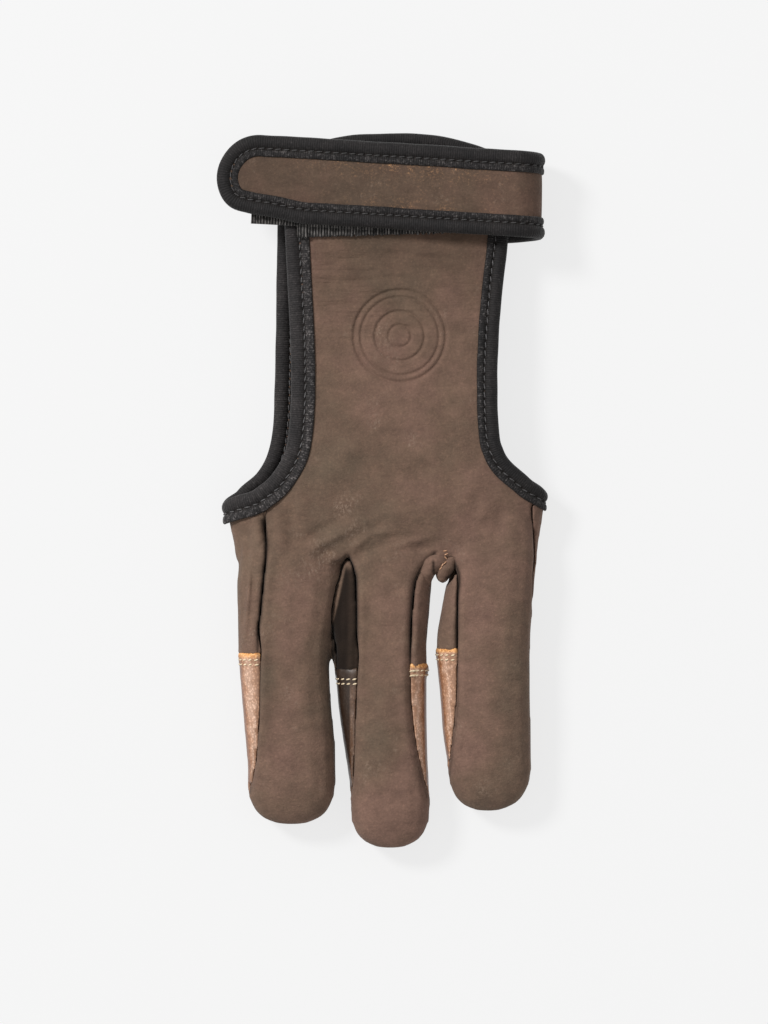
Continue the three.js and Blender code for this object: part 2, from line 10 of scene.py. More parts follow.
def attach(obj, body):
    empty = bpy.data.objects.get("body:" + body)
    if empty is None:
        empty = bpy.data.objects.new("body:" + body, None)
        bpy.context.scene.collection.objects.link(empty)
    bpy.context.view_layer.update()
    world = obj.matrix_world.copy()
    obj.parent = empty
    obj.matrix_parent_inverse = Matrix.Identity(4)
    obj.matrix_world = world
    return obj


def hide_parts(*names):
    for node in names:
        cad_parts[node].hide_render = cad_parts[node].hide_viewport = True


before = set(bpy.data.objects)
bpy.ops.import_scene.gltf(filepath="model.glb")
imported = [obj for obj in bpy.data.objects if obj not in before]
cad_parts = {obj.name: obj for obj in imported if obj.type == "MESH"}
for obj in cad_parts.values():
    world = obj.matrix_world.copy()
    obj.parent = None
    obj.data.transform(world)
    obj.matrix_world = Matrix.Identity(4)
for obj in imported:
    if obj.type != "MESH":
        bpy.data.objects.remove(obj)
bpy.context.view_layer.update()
scene = bpy.context.scene
MM = 0.001


# Camera: straight above, far enough away that the glove's height hardly shifts its outline. The
# picture takes in 287 mm of floor from top to bottom.
FLOOR_SHOWN = 0.2867
CAMERA_UP = 2.4
camera_data = bpy.data.cameras.new("camera")
camera_data.sensor_fit = "VERTICAL"
camera_data.sensor_height = 24
camera_data.lens = camera_data.sensor_height * CAMERA_UP / FLOOR_SHOWN
camera_data.clip_end = 10
camera = bpy.data.objects.new("camera", camera_data)
camera.location = (0.00016, -0.00618, CAMERA_UP)
scene.collection.objects.link(camera)
scene.camera = camera


# Studio: a plain pale table that glows a little from below, one soft light from the upper left and
# an even sky, so that the shadows are pale and lie close to the glove.
def socket_set(made, values):
    for name, value in values.items():
        if name in made.inputs:
            made.inputs[name].default_value = value
        else:
            setattr(made, name, value)


def new_material(name, values):
    made = bpy.data.materials.new(name)
    made.use_nodes = True
    socket_set(made.node_tree.nodes["Principled BSDF"], values)
    return made


floor_bm = bmesh.new()
bmesh.ops.create_grid(floor_bm, x_segments=8, y_segments=8, size=3)
floor_mesh = bpy.data.meshes.new("floor")
floor_bm.to_mesh(floor_mesh)
floor_bm.free()
floor = bpy.data.objects.new("floor", floor_mesh)
FLOOR_GLOW = 0.765
floor_mesh.materials.append(new_material("floor_paint", {
    "Roughness": 0.9,
    "Base Color": (0.12, 0.12, 0.12, 1),
    "Specular IOR Level": 0.0,
    "Emission Color": (1, 1, 1, 1),
    "Emission Strength": FLOOR_GLOW,
}))
scene.collection.objects.link(floor)

SKY_STRENGTH = 0.62
world = bpy.data.worlds.new("sky")
world.use_nodes = True
socket_set(world.node_tree.nodes["Background"], {"Color": (1, 1, 1, 1), "Strength": SKY_STRENGTH})
scene.world = world

KEY_PLACE = Vector((-1.5, 1.1, 1.75))
key_data = bpy.data.lights.new("key", "AREA")
key_data.shape = "DISK"
key_data.size = 0.6
key_data.energy = 62
key_light = bpy.data.objects.new("key", key_data)
key_light.location = KEY_PLACE
key_light.rotation_euler = (-KEY_PLACE).to_track_quat("-Z", "Y").to_euler()
scene.collection.objects.link(key_light)
scene.view_settings.view_transform = "Standard"


# Back of the hand: one panel of soft brown nubuck that runs on into the backs of the three fingers,
# sewn to the palm panel along the fingers. Its edges are turned and its surface is gently creased.
def node_copy(node, name):
    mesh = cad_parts[node].data.copy()
    mesh.name = name
    mesh.materials.clear()
    bm = bmesh.new()
    bm.from_mesh(mesh)
    bmesh.ops.remove_doubles(bm, verts=bm.verts, dist=0.01 * MM)
    bm.to_mesh(mesh)
    bm.free()
    piece = bpy.data.objects.new(name, mesh)
    scene.collection.objects.link(piece)
    return piece


def bake_modifiers(piece):
    """Put the result of the live modifiers into the mesh and take them off."""
    depsgraph = bpy.context.evaluated_depsgraph_get()
    mesh = bpy.data.meshes.new_from_object(piece.evaluated_get(depsgraph))
    old = piece.data
    piece.modifiers.clear()
    piece.data = mesh
    bpy.data.meshes.remove(old)


def shade_smooth(piece):
    piece.data.polygons.foreach_set("use_smooth", [True] * len(piece.data.polygons))


# Points in mm along the four seams seen from above, and the level at which each finger's tan leather
# begins, between a left and a right limit.
SEAM_LINES = [
    [(-33.6, -8.4), (-32.5, -15.4), (-33.3, -23.8), (-34.2, -33.6), (-35.0, -41.5), (-35.0, -57.2),
     (-37.2, -84.3)],
    [(-9.5, -19.1), (-7.8, -23.8), (-7.5, -30.8), (-7.5, -42.0), (-8.3, -58.8), (-8.9, -75.6),
     (-9.7, -86.8)],
    [(14.4, -17.4), (9.3, -24.1), (8.2, -29.4), (7.6, -37.0), (7.3, -57.1), (8.3, -68.1), (9.6, -76.5),
     (12.1, -85.4)],
    [(18.9, -19.3), (21.0, -23.5), (20.6, -31.1), (20.4, -42.0), (20.7, -58.8), (19.5, -70.0),
     (18.5, -79.8)],
]
TIP_LINES = [(-60, -13.5, -45.9), (-13.5, 13.2, -50.0), (13.2, 60, -44.5)]
SEAM_STEPS = 110


def spline(knots, per_knot):
    """Points on a smooth curve through the knots."""
    points = []
    for i in range(len(knots) - 1):
        start, end = knots[i], knots[i + 1]
        out = (end - knots[max(0, i - 1)]) / 2
        into = (knots[min(len(knots) - 1, i + 2)] - start) / 2
        for step in range(per_knot):
            t = step / per_knot
            curve = (3 * (end - start) - 2 * out - into) * t * t
            points.append(start + out * t + curve + (2 * (start - end) + out + into) * t ** 3)
    points.append(knots[-1])
    return points


seam_points = []
for line in SEAM_LINES:
    seam_points += spline([Vector((x, y, 0)) for x, y in line], SEAM_STEPS)
seam_tree = KDTree(len(seam_points))
for index, point in enumerate(seam_points):
    seam_tree.insert(point, index)
seam_tree.balance()


def seam_distance(x, y):
    """Distance in mm from the nearest seam between the back panel and the finger sides."""
    return seam_tree.find(Vector((x, y, 0)))[2]


def clamped(value):
    return max(0.0, min(1.0, value))


def ramp(value, start, end):
    """From 0 at start to 1 at end, with soft shoulders."""
    share = clamped((value - start) / (end - start))
    return share * share * (3 - 2 * share)


def hump(away, width):
    """From 1 in the middle, fading to both sides over a width."""
    return math.exp(-(away / width) ** 2)


FINGER_ENDS = [(-25.7, -92.9), (1.9, -99.5), (29.1, -89.1)]
END_HALF = 14
END_DEEP = 7
END_ROUNDS = 14
NARROW_SEAM = 0.12
CLOSED_SEAM = 0.30
END_SWELL = 0.34


def end_share(x, y):
    """How near a point is to the end of a finger, from 0 to 1."""
    return max(ramp(end_y + 15 - y, 0, 10) * (abs(x - end_x) < END_HALF + 1) for end_x, end_y in FINGER_ENDS)


def near_finger_end(place):
    return any(abs(place.x / MM - x) < END_HALF and place.y / MM < y + END_DEEP for x, y in FINGER_ENDS)


def on_finger_side(place):
    """Whether a point lies on the side of a finger, away from the seams and the tan leather's edge."""
    x, y, z = place / MM
    if z < 1.2 or y > -21 or seam_distance(x, y) < 0.8:
        return False
    return all(abs(y - line) > 1.3 for left, right, line in TIP_LINES if left < x <= right)


def smooth_rounds(bm, verts, rounds):
    for _ in range(rounds):
        bmesh.ops.smooth_vert(bm, verts=verts, factor=0.5, use_axis_x=True, use_axis_y=True, use_axis_z=True)


def softened(node, name, voxel, rounds, side_rounds=0, closed=CLOSED_SEAM):
    """A copy of a node as one even skin with its edges rounded off, swollen a little to close seams."""
    piece = node_copy(node, name)
    remesh = piece.modifiers.new("skin", "REMESH")
    remesh.mode = "VOXEL"
    remesh.voxel_size = voxel * MM
    bake_modifiers(piece)
    bm = bmesh.new()
    bm.from_mesh(piece.data)
    smooth_rounds(bm, bm.verts, rounds)
    smooth_rounds(bm, [vertex for vertex in bm.verts if near_finger_end(vertex.co)], END_ROUNDS)
    if side_rounds:
        smooth_rounds(bm, [vertex for vertex in bm.verts if on_finger_side(vertex.co)], side_rounds)
    bm.normal_update()
    for vertex in bm.verts:
        x, y = vertex.co.x / MM, vertex.co.y / MM
        swell = NARROW_SEAM + (closed - NARROW_SEAM) * ramp(-y, 40, 50) + END_SWELL * end_share(x, y)
        vertex.co += vertex.normal * swell * MM
        vertex.co.z = max(vertex.co.z, 0.0)
    bm.to_mesh(piece.data)
    bm.free()
    return piece


def stroke_rise(x, y, strokes):
    """Height at x, y of a list of soft ridges and creases, each from one point to another, in mm."""
    rise = 0.0
    for x0, y0, x1, y1, width, high in strokes:
        run = Vector((x1 - x0, y1 - y0))
        share = clamped(((x - x0) * run.x + (y - y0) * run.y) / run.length_squared)
        away = math.hypot(x - x0 - share * run.x, y - y0 - share * run.y)
        rise += high * hump(away, width) * math.sin(math.pi * (0.12 + 0.76 * share))
    return rise


def shift_skin(piece, rise_at):
    """Lift every point of a panel, both faces alike, by rise_at(x, y, z) in mm."""
    for vertex in piece.data.vertices:
        place = vertex.co / MM
        vertex.co.z += rise_at(place.x, place.y, place.z) * MM


FORK = Vector((-10.0, -21.0))
FORK_PULL = 2.2


def draw_fork(piece):
    """Draw the seam between the left and the middle finger up to a point, as it is sewn."""
    for vertex in piece.data.vertices:
        x, y = vertex.co.x / MM, vertex.co.y / MM
        vertex.co.y += FORK_PULL * hump(x - FORK.x, 1.5) * hump(y - FORK.y, 2.6) * MM


def ease_seams(piece):
    """Move the seam at the left of the left and the middle finger inward, over the tan leather."""
    for vertex in piece.data.vertices:
        x, y = vertex.co.x / MM, vertex.co.y / MM
        ease = 0.85 * ramp(-x, 30.5, 34.6) * ramp(x, -41.0, -36.2) * ramp(-y, 38, 46) * ramp(y, -86, -74)
        ease += 0.90 * ramp(-x, 3.0, 8.0) * ramp(x, -13.0, -9.8) * ramp(-y, 38, 48) * ramp(y, -96, -82)
        vertex.co.x += ease * MM


# Ridges and creases: from x, y to x, y, then width and height, all in mm.
GLOVE_STROKES = [
    (-20.3, -16.7, -8.5, -10.3, 1.3, 0.60), (-22.6, -14.4, -12.1, -8.1, 1.5, -0.40),
    (-19.0, -19.0, -10.5, -14.5, 1.2, -0.30), (-8.4, -16.5, -3.7, -12.3, 1.2, 0.50),
    (-3.7, -12.3, 3.3, -11.3, 1.2, 0.45), (-9.5, -13.5, 0.9, -9.1, 1.4, -0.35),
    (-7.0, -18.5, 1.5, -14.6, 1.1, -0.30), (4.4, -14.9, 13.4, -13.3, 0.9, 0.36),
    (2.9, -17.1, 14.1, -15.9, 0.9, -0.34), (-34.6, -3.4, -31.1, -17.9, 1.4, -0.60),
    (-29.6, -3.9, -28.1, -16.9, 1.6, 0.50), (-25.6, -1.9, -25.1, -13.9, 1.4, -0.32),
    (-36.5, -6.0, -34.5, -16.0, 1.1, 0.35), (20.4, -7.9, 26.9, 6.1, 2.6, 0.40),
    (30.4, -15.9, 33.4, -3.9, 2.0, -0.32), (25.0, -14.0, 29.0, -2.0, 1.8, 0.28),
    (-16.1, 4.1, -6.1, 14.1, 2.8, 0.34), (-2.0, -3.0, 12.0, 6.0, 3.2, -0.28),
    (8.0, -8.0, 16.0, -2.0, 2.0, 0.25), (-19.0, 62.0, -3.0, 65.5, 0.8, -0.24),
    (-18.5, 57.5, 6.0, 59.5, 0.7, -0.20), (-17.5, 51.0, -6.0, 52.0, 0.7, -0.20),
    (2.0, 66.0, 24.0, 63.5, 0.8, -0.22), (14.0, 56.0, 27.0, 57.0, 0.7, -0.18),
    (-36.6, -18.0, -38.6, -42.0, 0.6, 0.55), (-37.8, -12.0, -36.4, -28.0, 0.9, -0.42),
    (-30.0, -38.0, -20.0, -40.0, 2.4, -0.22), (-6.0, -44.0, 6.0, -42.0, 2.6, -0.22),
    (20.0, -36.0, 34.0, -39.0, 2.4, -0.22),
]
STROKE_DEPTH = 1.6


def glove_rise(x, y, z):
    """How far the soft waves of the leather lift a point, in mm; nothing where it lies on the floor."""
    spot = Vector((x, y, z / 2))
    rise = 0.42 * noise.noise(spot / 15) + 0.20 * noise.noise(spot / 6)
    upper = ramp(z, 4.5, 9.0)
    if upper > 0:
        rise += STROKE_DEPTH * upper * stroke_rise(x, y, GLOVE_STROKES)
    if upper > 0 and y < -6:
        away = seam_distance(x, y)
        pucker = 0.26 * noise.noise(Vector((x / 6, y / 1.9, 8)))
        rise += upper * (pucker - 0.50) * hump(away, 0.75)
        rise += upper * (0.16 + pucker) * hump(away - 1.7, 0.9)
    rise += 0.16 * ramp(y, 34, 52) * noise.noise(Vector((x / 9, y / 1.6, 3)))
    return rise * min(1.0, z / 5)


def store(piece, layer, values):
    """Keep a value for every point of a piece, for its material to read."""
    made = piece.data.attributes.new(layer, "FLOAT", "POINT")
    made.data.foreach_set("value", values)


def paint(piece, layer, value_at):
    """Store value_at(x, y, z), in mm, on every point of a piece."""
    store(piece, layer, [value_at(*(vertex.co / MM)) for vertex in piece.data.vertices])


def seam_shade(x, y, z):
    """Painted shade in the fold along a seam: broad near the forks, faint beside the tan leather."""
    if y > -6:
        return 0.0
    width = 0.50 - 0.20 * ramp(-y, 38, 47)
    strong = 0.90 - 0.50 * ramp(-y, 45, 50)
    return strong * hump(seam_distance(x, y), width)


BACK_VOXEL = 0.6
back = softened("back_leather", "back_panel", BACK_VOXEL, 4)
draw_fork(back)
ease_seams(back)
EMBLEM = Vector((4.6, 42.8))
EMBLEM_RINGS = [(12.8, 0.48, -0.62), (10.9, 0.40, -0.48), (6.9, 0.42, -0.52), (3.1, 0.42, -0.50)]
EMBLEM_EDGE = 14.2
EMBLEM_LOW = 11
emblem_bm = bmesh.new()
emblem_bm.from_mesh(back.data)
on_emblem = {
    vertex for vertex in emblem_bm.verts
    if vertex.co.z > EMBLEM_LOW * MM and (vertex.co.xy / MM - EMBLEM).length < EMBLEM_EDGE
}
near_emblem = [edge for edge in emblem_bm.edges if on_emblem.issuperset(edge.verts)]
bmesh.ops.subdivide_edges(emblem_bm, edges=near_emblem, cuts=1, use_grid_fill=True)
emblem_bm.to_mesh(back.data)
emblem_bm.free()


def emblem_rise(x, y, z):
    """A blind-pressed mark of four plain rings in the middle of the back."""
    away = math.hypot(x - EMBLEM.x, y - EMBLEM.y)
    if away > EMBLEM_EDGE + 1.8 or z < 8:
        return 0.0
    rise = -0.10 * clamped((EMBLEM_RINGS[0][0] - away) / 0.8)
    for radius, width, high in EMBLEM_RINGS:
        rise += high * hump(away - radius, width)
    return rise


# Large areas of the dye: middle x, y, half width and half height in mm, and lean to red or olive.
RUDDY_AREAS = [
    (-24.0, -48.0, 6.0, 15.0, 0.10), (-28.0, -76.0, 11.0, 15.0, 0.11), (-33.0, -46.0, 3.0, 16.0, -0.13),
    (-1.0, -42.0, 7.0, 14.0, 0.09), (-1.5, -71.0, 5.0, 10.0, -0.13), (3.0, -91.0, 9.0, 9.0, 0.11),
    (26.0, -50.0, 7.0, 26.0, 0.06), (36.0, -54.0, 5.0, 30.0, -0.12), (28.0, -84.0, 9.0, 7.0, -0.06),
    (27.0, 0.0, 14.0, 12.0, 0.09), (-12.0, 8.0, 9.0, 18.0, -0.06),
]
SCUFFS = [(-20.3, -19.6, 2.4, -3.7, 3.2), (-19.0, -12.0, -8.0, -2.0, 2.6)]


def ruddy(x, y, z):
    """How far the dye leans to red, above 0, or to olive, below it, over the large areas of the back."""
    return sum(much * hump(x - x0, wide) * hump(y - y0, tall) for x0, y0, wide, tall, much in RUDDY_AREAS)


def rubbed(x, y, z):
    """Where the ridge of the knuckles is rubbed pale."""
    return 0.20 * stroke_rise(x, y, [(*scuff, 1.0) for scuff in SCUFFS])


def back_shade(x, y, z):
    """Painted shade in the seams, in the soft bend beside the left finger's seam and on the panel's rim
    between the left and the middle finger, and a darkening over the hand toward the wrist."""
    # Painted shade: a soft band beside the left finger's seam, and the panel's rim in the crevice.
    bend = 0.20 * hump(x + 32.4, 2.2) * ramp(-y, 36, 46) * ramp(y, -84, -66)
    rim = -14.9 + 1.4 * ramp(-y, 44.5, 50)
    rim_shade = 0.93 * ramp(x, rim, rim + 0.5) * (x < -10.5) * ramp(-y, 39, 41) * ramp(y, -53, -50)
    return max(seam_shade(x, y, z), bend, rim_shade, 0.07 * ramp(y, -34, -8) + 0.18 * ramp(y, 40, 68))


paint(back, "shade", back_shade)
paint(back, "ruddy", ruddy)
paint(back, "rubbed", rubbed)
paint(back, "wrinkled", lambda x, y, z: ramp(y, 34, 52) * (0.35 + 0.65 * ramp(-x, -8, 12)))
shift_skin(back, lambda x, y, z: glove_rise(x, y, z) + emblem_rise(x, y, z))
shade_smooth(back)


def link_nodes(tree, chain):
    for source, target in chain:
        tree.links.new(source, target)


def add_node(tree, kind, **values):
    made = tree.nodes.new(kind)
    socket_set(made, {name.replace("_", " ") if name.replace("_", " ") in made.inputs else name: value
                      for name, value in values.items()})
    return made


def colour_ramp(tree, fac, stops):
    made = tree.nodes.new("ShaderNodeValToRGB")
    elements = made.color_ramp.elements
    while len(elements) < len(stops):
        elements.new(0.5)
    for element, (place, colour) in zip(elements, stops):
        element.position = place
        element.color = (*colour, 1)
    tree.links.new(fac, made.inputs["Fac"])
    return made.outputs["Color"]


def grey_ramp(tree, fac, *stops):
    return colour_ramp(tree, fac, [(place, (grey, grey, grey)) for place, grey in stops])


def noise_at(tree, coordinates, scale, detail=3.0, rough=0.5, stretch=None):
    if stretch:
        mapping = add_node(tree, "ShaderNodeMapping")
        mapping.inputs["Scale"].default_value = stretch
        tree.links.new(coordinates, mapping.inputs["Vector"])
        coordinates = mapping.outputs["Vector"]
    made = add_node(tree, "ShaderNodeTexNoise", Scale=scale, Detail=detail, Roughness=rough)
    tree.links.new(coordinates, made.inputs["Vector"])
    return made.outputs["Fac"]


def mixed(tree, kind, fac, first, second):
    mix = tree.nodes.new("ShaderNodeMix")
    mix.data_type = "RGBA"
    mix.blend_type = kind
    for socket, value in ((mix.inputs[0], fac), (mix.inputs[6], first), (mix.inputs[7], second)):
        if hasattr(value, "links"):
            tree.links.new(value, socket)
        else:
            socket.default_value = value
    return mix.outputs[2]


def bumped(tree, height, strength, distance, below=None):
    bump = add_node(tree, "ShaderNodeBump", Strength=strength, Distance=distance)
    tree.links.new(height, bump.inputs["Height"])
    if below:
        tree.links.new(below, bump.inputs["Normal"])
    return bump.outputs["Normal"]


def read_layer(tree, layer):
    return add_node(tree, "ShaderNodeAttribute", attribute_name=layer).outputs["Fac"]


def shaded(tree, colour):
    """Darken a colour by the shade layer: painted shade in folds and crevices, and a few broad darkenings.
    """
    return mixed(tree, "MIX", read_layer(tree, "shade"), colour, (0.007, 0.0038, 0.0022, 1))


def reckoned(tree, operation, *numbers):
    """Numbers from nodes added up, with ADD, or multiplied together, with MULTIPLY."""
    result = numbers[0]
    for number in numbers[1:]:
        made = add_node(tree, "ShaderNodeMath", operation=operation)
        link_nodes(tree, [(result, made.inputs[0]), (number, made.inputs[1])])
        result = made.outputs[0]
    return result


def ranged(tree, value, low, high, to_low=0.0, to_high=1.0):
    made = add_node(tree, "ShaderNodeMapRange", From_Min=low, From_Max=high, To_Min=to_low, To_Max=to_high)
    tree.links.new(value, made.inputs["Value"])
    return made.outputs["Result"]


SCUFF = (0.27, 0.195, 0.145, 1)


def begin_finish(name, values):
    """A new material, its node tree, and each place in the piece's own space."""
    made = new_material(name, values)
    return made, made.node_tree, add_node(made.node_tree, "ShaderNodeTexCoord").outputs["Object"]


def end_finish(made, colour, rough, normal):
    shader = made.node_tree.nodes["Principled BSDF"]
    sockets = [shader.inputs[name] for name in ("Base Color", "Roughness", "Normal")]
    link_nodes(made.node_tree, zip((colour, rough, normal), sockets))
    return made


def nubuck(name, olive, middle, red):
    """Buffed leather: blotches of dye, mottling, fine specks, pale rubbed places, creases and grain."""
    gloss = {"Roughness": 0.86, "Specular IOR Level": 0.13, "Sheen Weight": 0.05, "Sheen Roughness": 0.5}
    made, tree, where = begin_finish(name, gloss)
    blotches = noise_at(tree, where, 38, 5, 0.62)
    areas = reckoned(tree, "ADD", ranged(tree, blotches, 0.0, 1.0, 0.12, 0.88), read_layer(tree, "ruddy"))
    colour = colour_ramp(tree, areas, [(0.36, olive), (0.50, middle), (0.64, red)])
    mottle = noise_at(tree, where, 210, 6, 0.70, (0.85, 1.1, 1.0))
    light = colour_ramp(tree, mottle, [(0.30, (0.80, 0.80, 0.80)), (0.70, (1.18, 1.18, 1.17))])
    colour = mixed(tree, "MULTIPLY", 1.0, colour, light)
    specks = noise_at(tree, where, 1500, 4, 0.75)
    dots = colour_ramp(tree, specks, [
        (0.33, (0.84, 0.84, 0.84)),
        (0.58, (1.0, 1.0, 1.0)),
        (0.76, (1.45, 1.38, 1.28)),
    ])
    colour = mixed(tree, "MULTIPLY", 1.0, colour, dots)
    scuffed = noise_at(tree, where, 85, 4, 0.65)
    fuzz = noise_at(tree, where, 1250, 5, 0.8, (1.0, 0.6, 1.0))
    pale = reckoned(tree, "ADD", scuffed, read_layer(tree, "rubbed"))
    amount = reckoned(tree, "MULTIPLY", ranged(tree, pale, 0.56, 0.78), ranged(tree, fuzz, 0.50, 0.64))
    colour = shaded(tree, mixed(tree, "MIX", amount, colour, SCUFF))
    grain = noise_at(tree, where, 2100, 4, 0.7)
    creases = noise_at(tree, where, 170, 5, 0.66, (0.75, 1.3, 1.0))
    wrinkles = noise_at(tree, where, 250, 3, 0.45, (0.20, 2.4, 1.0))
    wrinkles = reckoned(tree, "MULTIPLY", wrinkles, read_layer(tree, "wrinkled"))
    normal = bumped(tree, creases, 0.50, 0.0012)
    normal = bumped(tree, wrinkles, 0.7, 0.0011, normal)
    normal = bumped(tree, grain, 0.50, 0.00025, normal)
    return end_finish(made, colour, ranged(tree, mottle, 0.0, 1.0, 0.74, 0.95), normal)


OLIVE = (0.120, 0.084, 0.059)
MID_BROWN = (0.142, 0.090, 0.064)
RED_BROWN = (0.172, 0.102, 0.077)
brown_leather = nubuck("brown_nubuck", OLIVE, MID_BROWN, RED_BROWN)


def finish_piece(piece, material, slot, *nodes):
    piece.data.materials.clear()
    piece.data.materials.append(material)
    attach(piece, "root")
    if nodes:
        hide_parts(*nodes)


finish_piece(back, brown_leather, "brown_leather", "back_leather")


# Palm: the second panel of the same leather, under the hand and round the sides of the fingers up to
# where the smooth fingertips begin. It lies nearly flat.
PALM_VOXEL = 0.55
palm = softened("palm_leather", "palm_panel", PALM_VOXEL, 4, 20)
draw_fork(palm)
ease_seams(palm)
# The palm's wall is raised where the side seams start, and runs a little under the tan leather.
SEAM_STARTS = [(-33.4, -8.5), (41.8, -5.0)]
START_RISE = 0.9
TUCKED_UNDER = 0.40
for vertex in palm.data.vertices:
    x, y, z = vertex.co / MM
    for start_x, start_y in SEAM_STARTS:
        rise = START_RISE * hump(x - start_x, 2.2) * hump(y - start_y, 3.5)
        vertex.co.z += rise * ramp(z, 4, 6) * MM
    for left, right, line in TIP_LINES:
        if left < x <= right and y < line + 4:
            vertex.co.y -= TUCKED_UNDER * clamped((line + 2.0 - y) / 1.6) * MM
# The left limit, x at each y, of the painted shade in the crevice between the left and the middle finger.
CREVICE_EDGE = [
    (-20, -10.4), (-22.4, -10.7), (-31.9, -12.7), (-37.8, -14.3), (-42.3, -15.4), (-45.4, -15.2),
    (-52.0, -14.2),
]


def crevice(x, y, z):
    """How much painted shade lies on a point of the middle finger's left side, from 0 to 1."""
    edge = CREVICE_EDGE[-1][1]
    for (y0, x0), (y1, x1) in zip(CREVICE_EDGE, CREVICE_EDGE[1:]):
        if y1 <= y <= y0:
            edge = x0 + (x1 - x0) * (y0 - y) / (y0 - y1)
    inside = ramp(x, edge - 0.4, edge + 0.3) * ramp(-x, 6.4, 7.2)
    grey = 0.10 * ramp(x, -10.6, -9.2) + 0.05 * noise.noise(Vector((x / 1.5, y / 6, 2)))
    return inside * ramp(-y, 20.0, 23.0) * (0.96 - grey)


# Painted shade in the crevice and along the seams.
paint(palm, "shade", lambda x, y, z: max(crevice(x, y, z), seam_shade(x, y, z)))
shift_skin(palm, glove_rise)
shade_smooth(palm)
finish_piece(palm, brown_leather, "brown_leather", "palm_leather")


# Fingertips: smooth tan leather round the palm side and the flanks of each fingertip, lapped over
# the brown leather with a raw orange edge and sewn down with two rows of cream thread.
TIP_VOXEL = 0.5
TIP_LIP = 3.4
TIP_PROUD = 0.14
RAW_EDGE = 1.15
# Tan leather's tone as painted light and shade, by how far it faces up: dark at the flanks, pale towards the
# top.
COPPER_PAINTED_LIGHT = [
    (0.20, (0.190, 0.076, 0.031)),
    (0.44, (0.320, 0.148, 0.074)),
    (0.60, (0.490, 0.285, 0.185)),
    (0.74, (0.600, 0.402, 0.298)),
    (0.90, (0.370, 0.205, 0.125)),
]
RAW_ORANGE = [(0.38, (0.30, 0.10, 0.022)), (0.50, (0.66, 0.31, 0.10)), (0.66, (0.85, 0.52, 0.24))]


def tan_leather(name):
    gloss = {"Specular IOR Level": 0.45, "Coat Weight": 0.10, "Coat Roughness": 0.35}
    made, tree, where = begin_finish(name, gloss)
    clouds = ranged(tree, noise_at(tree, where, 420, 4, 0.65, (1.0, 0.7, 1.0)), 0.3, 0.7, -0.13, 0.13)
    # Painted light and shade: the tone follows how far the surface faces up.
    colour = colour_ramp(tree, reckoned(tree, "ADD", read_layer(tree, "upward"), clouds), COPPER_PAINTED_LIGHT)
    pebbles = add_node(tree, "ShaderNodeTexVoronoi", Scale=1500, Randomness=1.0)
    tree.links.new(where, pebbles.inputs["Vector"])
    pebbled = pebbles.outputs["Distance"]
    pores = colour_ramp(tree, pebbled, [(0.12, (1.22, 1.21, 1.20)), (0.55, (0.72, 0.68, 0.65))])
    colour = mixed(tree, "MULTIPLY", 1.0, colour, pores)
    fibres = noise_at(tree, where, 1500, 4, 0.75)
    orange = colour_ramp(tree, fibres, RAW_ORANGE)
    edge = read_layer(tree, "raw_edge")
    colour = shaded(tree, mixed(tree, "MIX", edge, colour, orange))
    normal = bumped(tree, pebbled, -0.45, 0.00016)
    normal = bumped(tree, fibres, 0.30, 0.00014, normal)
    return end_finish(made, colour, ranged(tree, edge, 0.0, 1.0, 0.40, 0.85), normal)


def tip_shade(x, y, z):
    """Painted shade on the tan leather between the left and the middle finger, darkest at its outer part."""
    between_fingers = ramp(x, -17.5, -15) * ramp(-x, 5.6, 7.4) * ramp(y, -93, -83)
    outer = ramp(-x, 8.2, 9.6) * (0.95 - 0.12 * ramp(-y, 74, 92))
    return max(between_fingers * max(outer, 0.90 - 0.18 * ramp(-y, 53, 56)), 0.7 * seam_shade(x, y, z))


EDGE_TILT = 1.2


def edge_tilt(side, x):
    """How much higher, in mm, the tan leather's edge is cut at x: level, but on the middle finger."""
    return EDGE_TILT * (ramp(x, 2, 7) - ramp(-x, 3, 7)) if side == "middle" else 0.0


tan = tan_leather("tan_leather")
tips = {}
for side in ("left", "middle", "right"):
    tip = softened(f"tip_{side}", f"fingertip_{side}", TIP_VOXEL, 3, 26, NARROW_SEAM)
    ease_seams(tip)
    edge_y = max(vertex.co.y for vertex in tip.data.vertices)
    places = [vertex.co.copy() for vertex in tip.data.vertices]
    normals = [vertex.normal.copy() for vertex in tip.data.vertices]
    raw, upward = [], []
    for vertex, place, normal in zip(tip.data.vertices, places, normals):
        below = (edge_y - place.y) / MM
        ragged = 0.22 * noise.noise(place / MM / 0.9)
        tilt = edge_tilt(side, place.x / MM)
        lowered = below + min(tilt, 0.0)
        # On the middle finger's left side the raw edge is muted, as part of the painted shade there.
        raw.append(clamped((RAW_EDGE + ragged - abs(lowered)) / 0.35) * (0.3 if tilt < -0.2 else 1.0))
        # How far the surface faces up, for the painted light and shade.
        upward.append(max(0.0, normal.z))
        lip = clamped((TIP_LIP - below) / 0.8)
        if side == "left" and place.x > -20 * MM:
            lip = 0.0
        proud = TIP_PROUD + 0.26 * max(tilt, 0.0)
        vertex.co = place + normal * (proud + 0.5 * ragged) * MM * lip
        vertex.co.y += (0.42 + ragged) * MM * clamped((1.6 - below) / 1.2)
        vertex.co.y += max(tilt, 0.0) * MM * ramp(-below, -7.0, -1.6)
        vertex.co.z = max(vertex.co.z, 0.0)
    store(tip, "raw_edge", raw)
    store(tip, "upward", upward)
    # Painted shade between the left and the middle finger and along the seams.
    paint(tip, "shade", tip_shade)
    shade_smooth(tip)
    finish_piece(tip, tan, "tan_leather", f"tip_{side}")
    tips[side] = (tip, edge_y / MM)


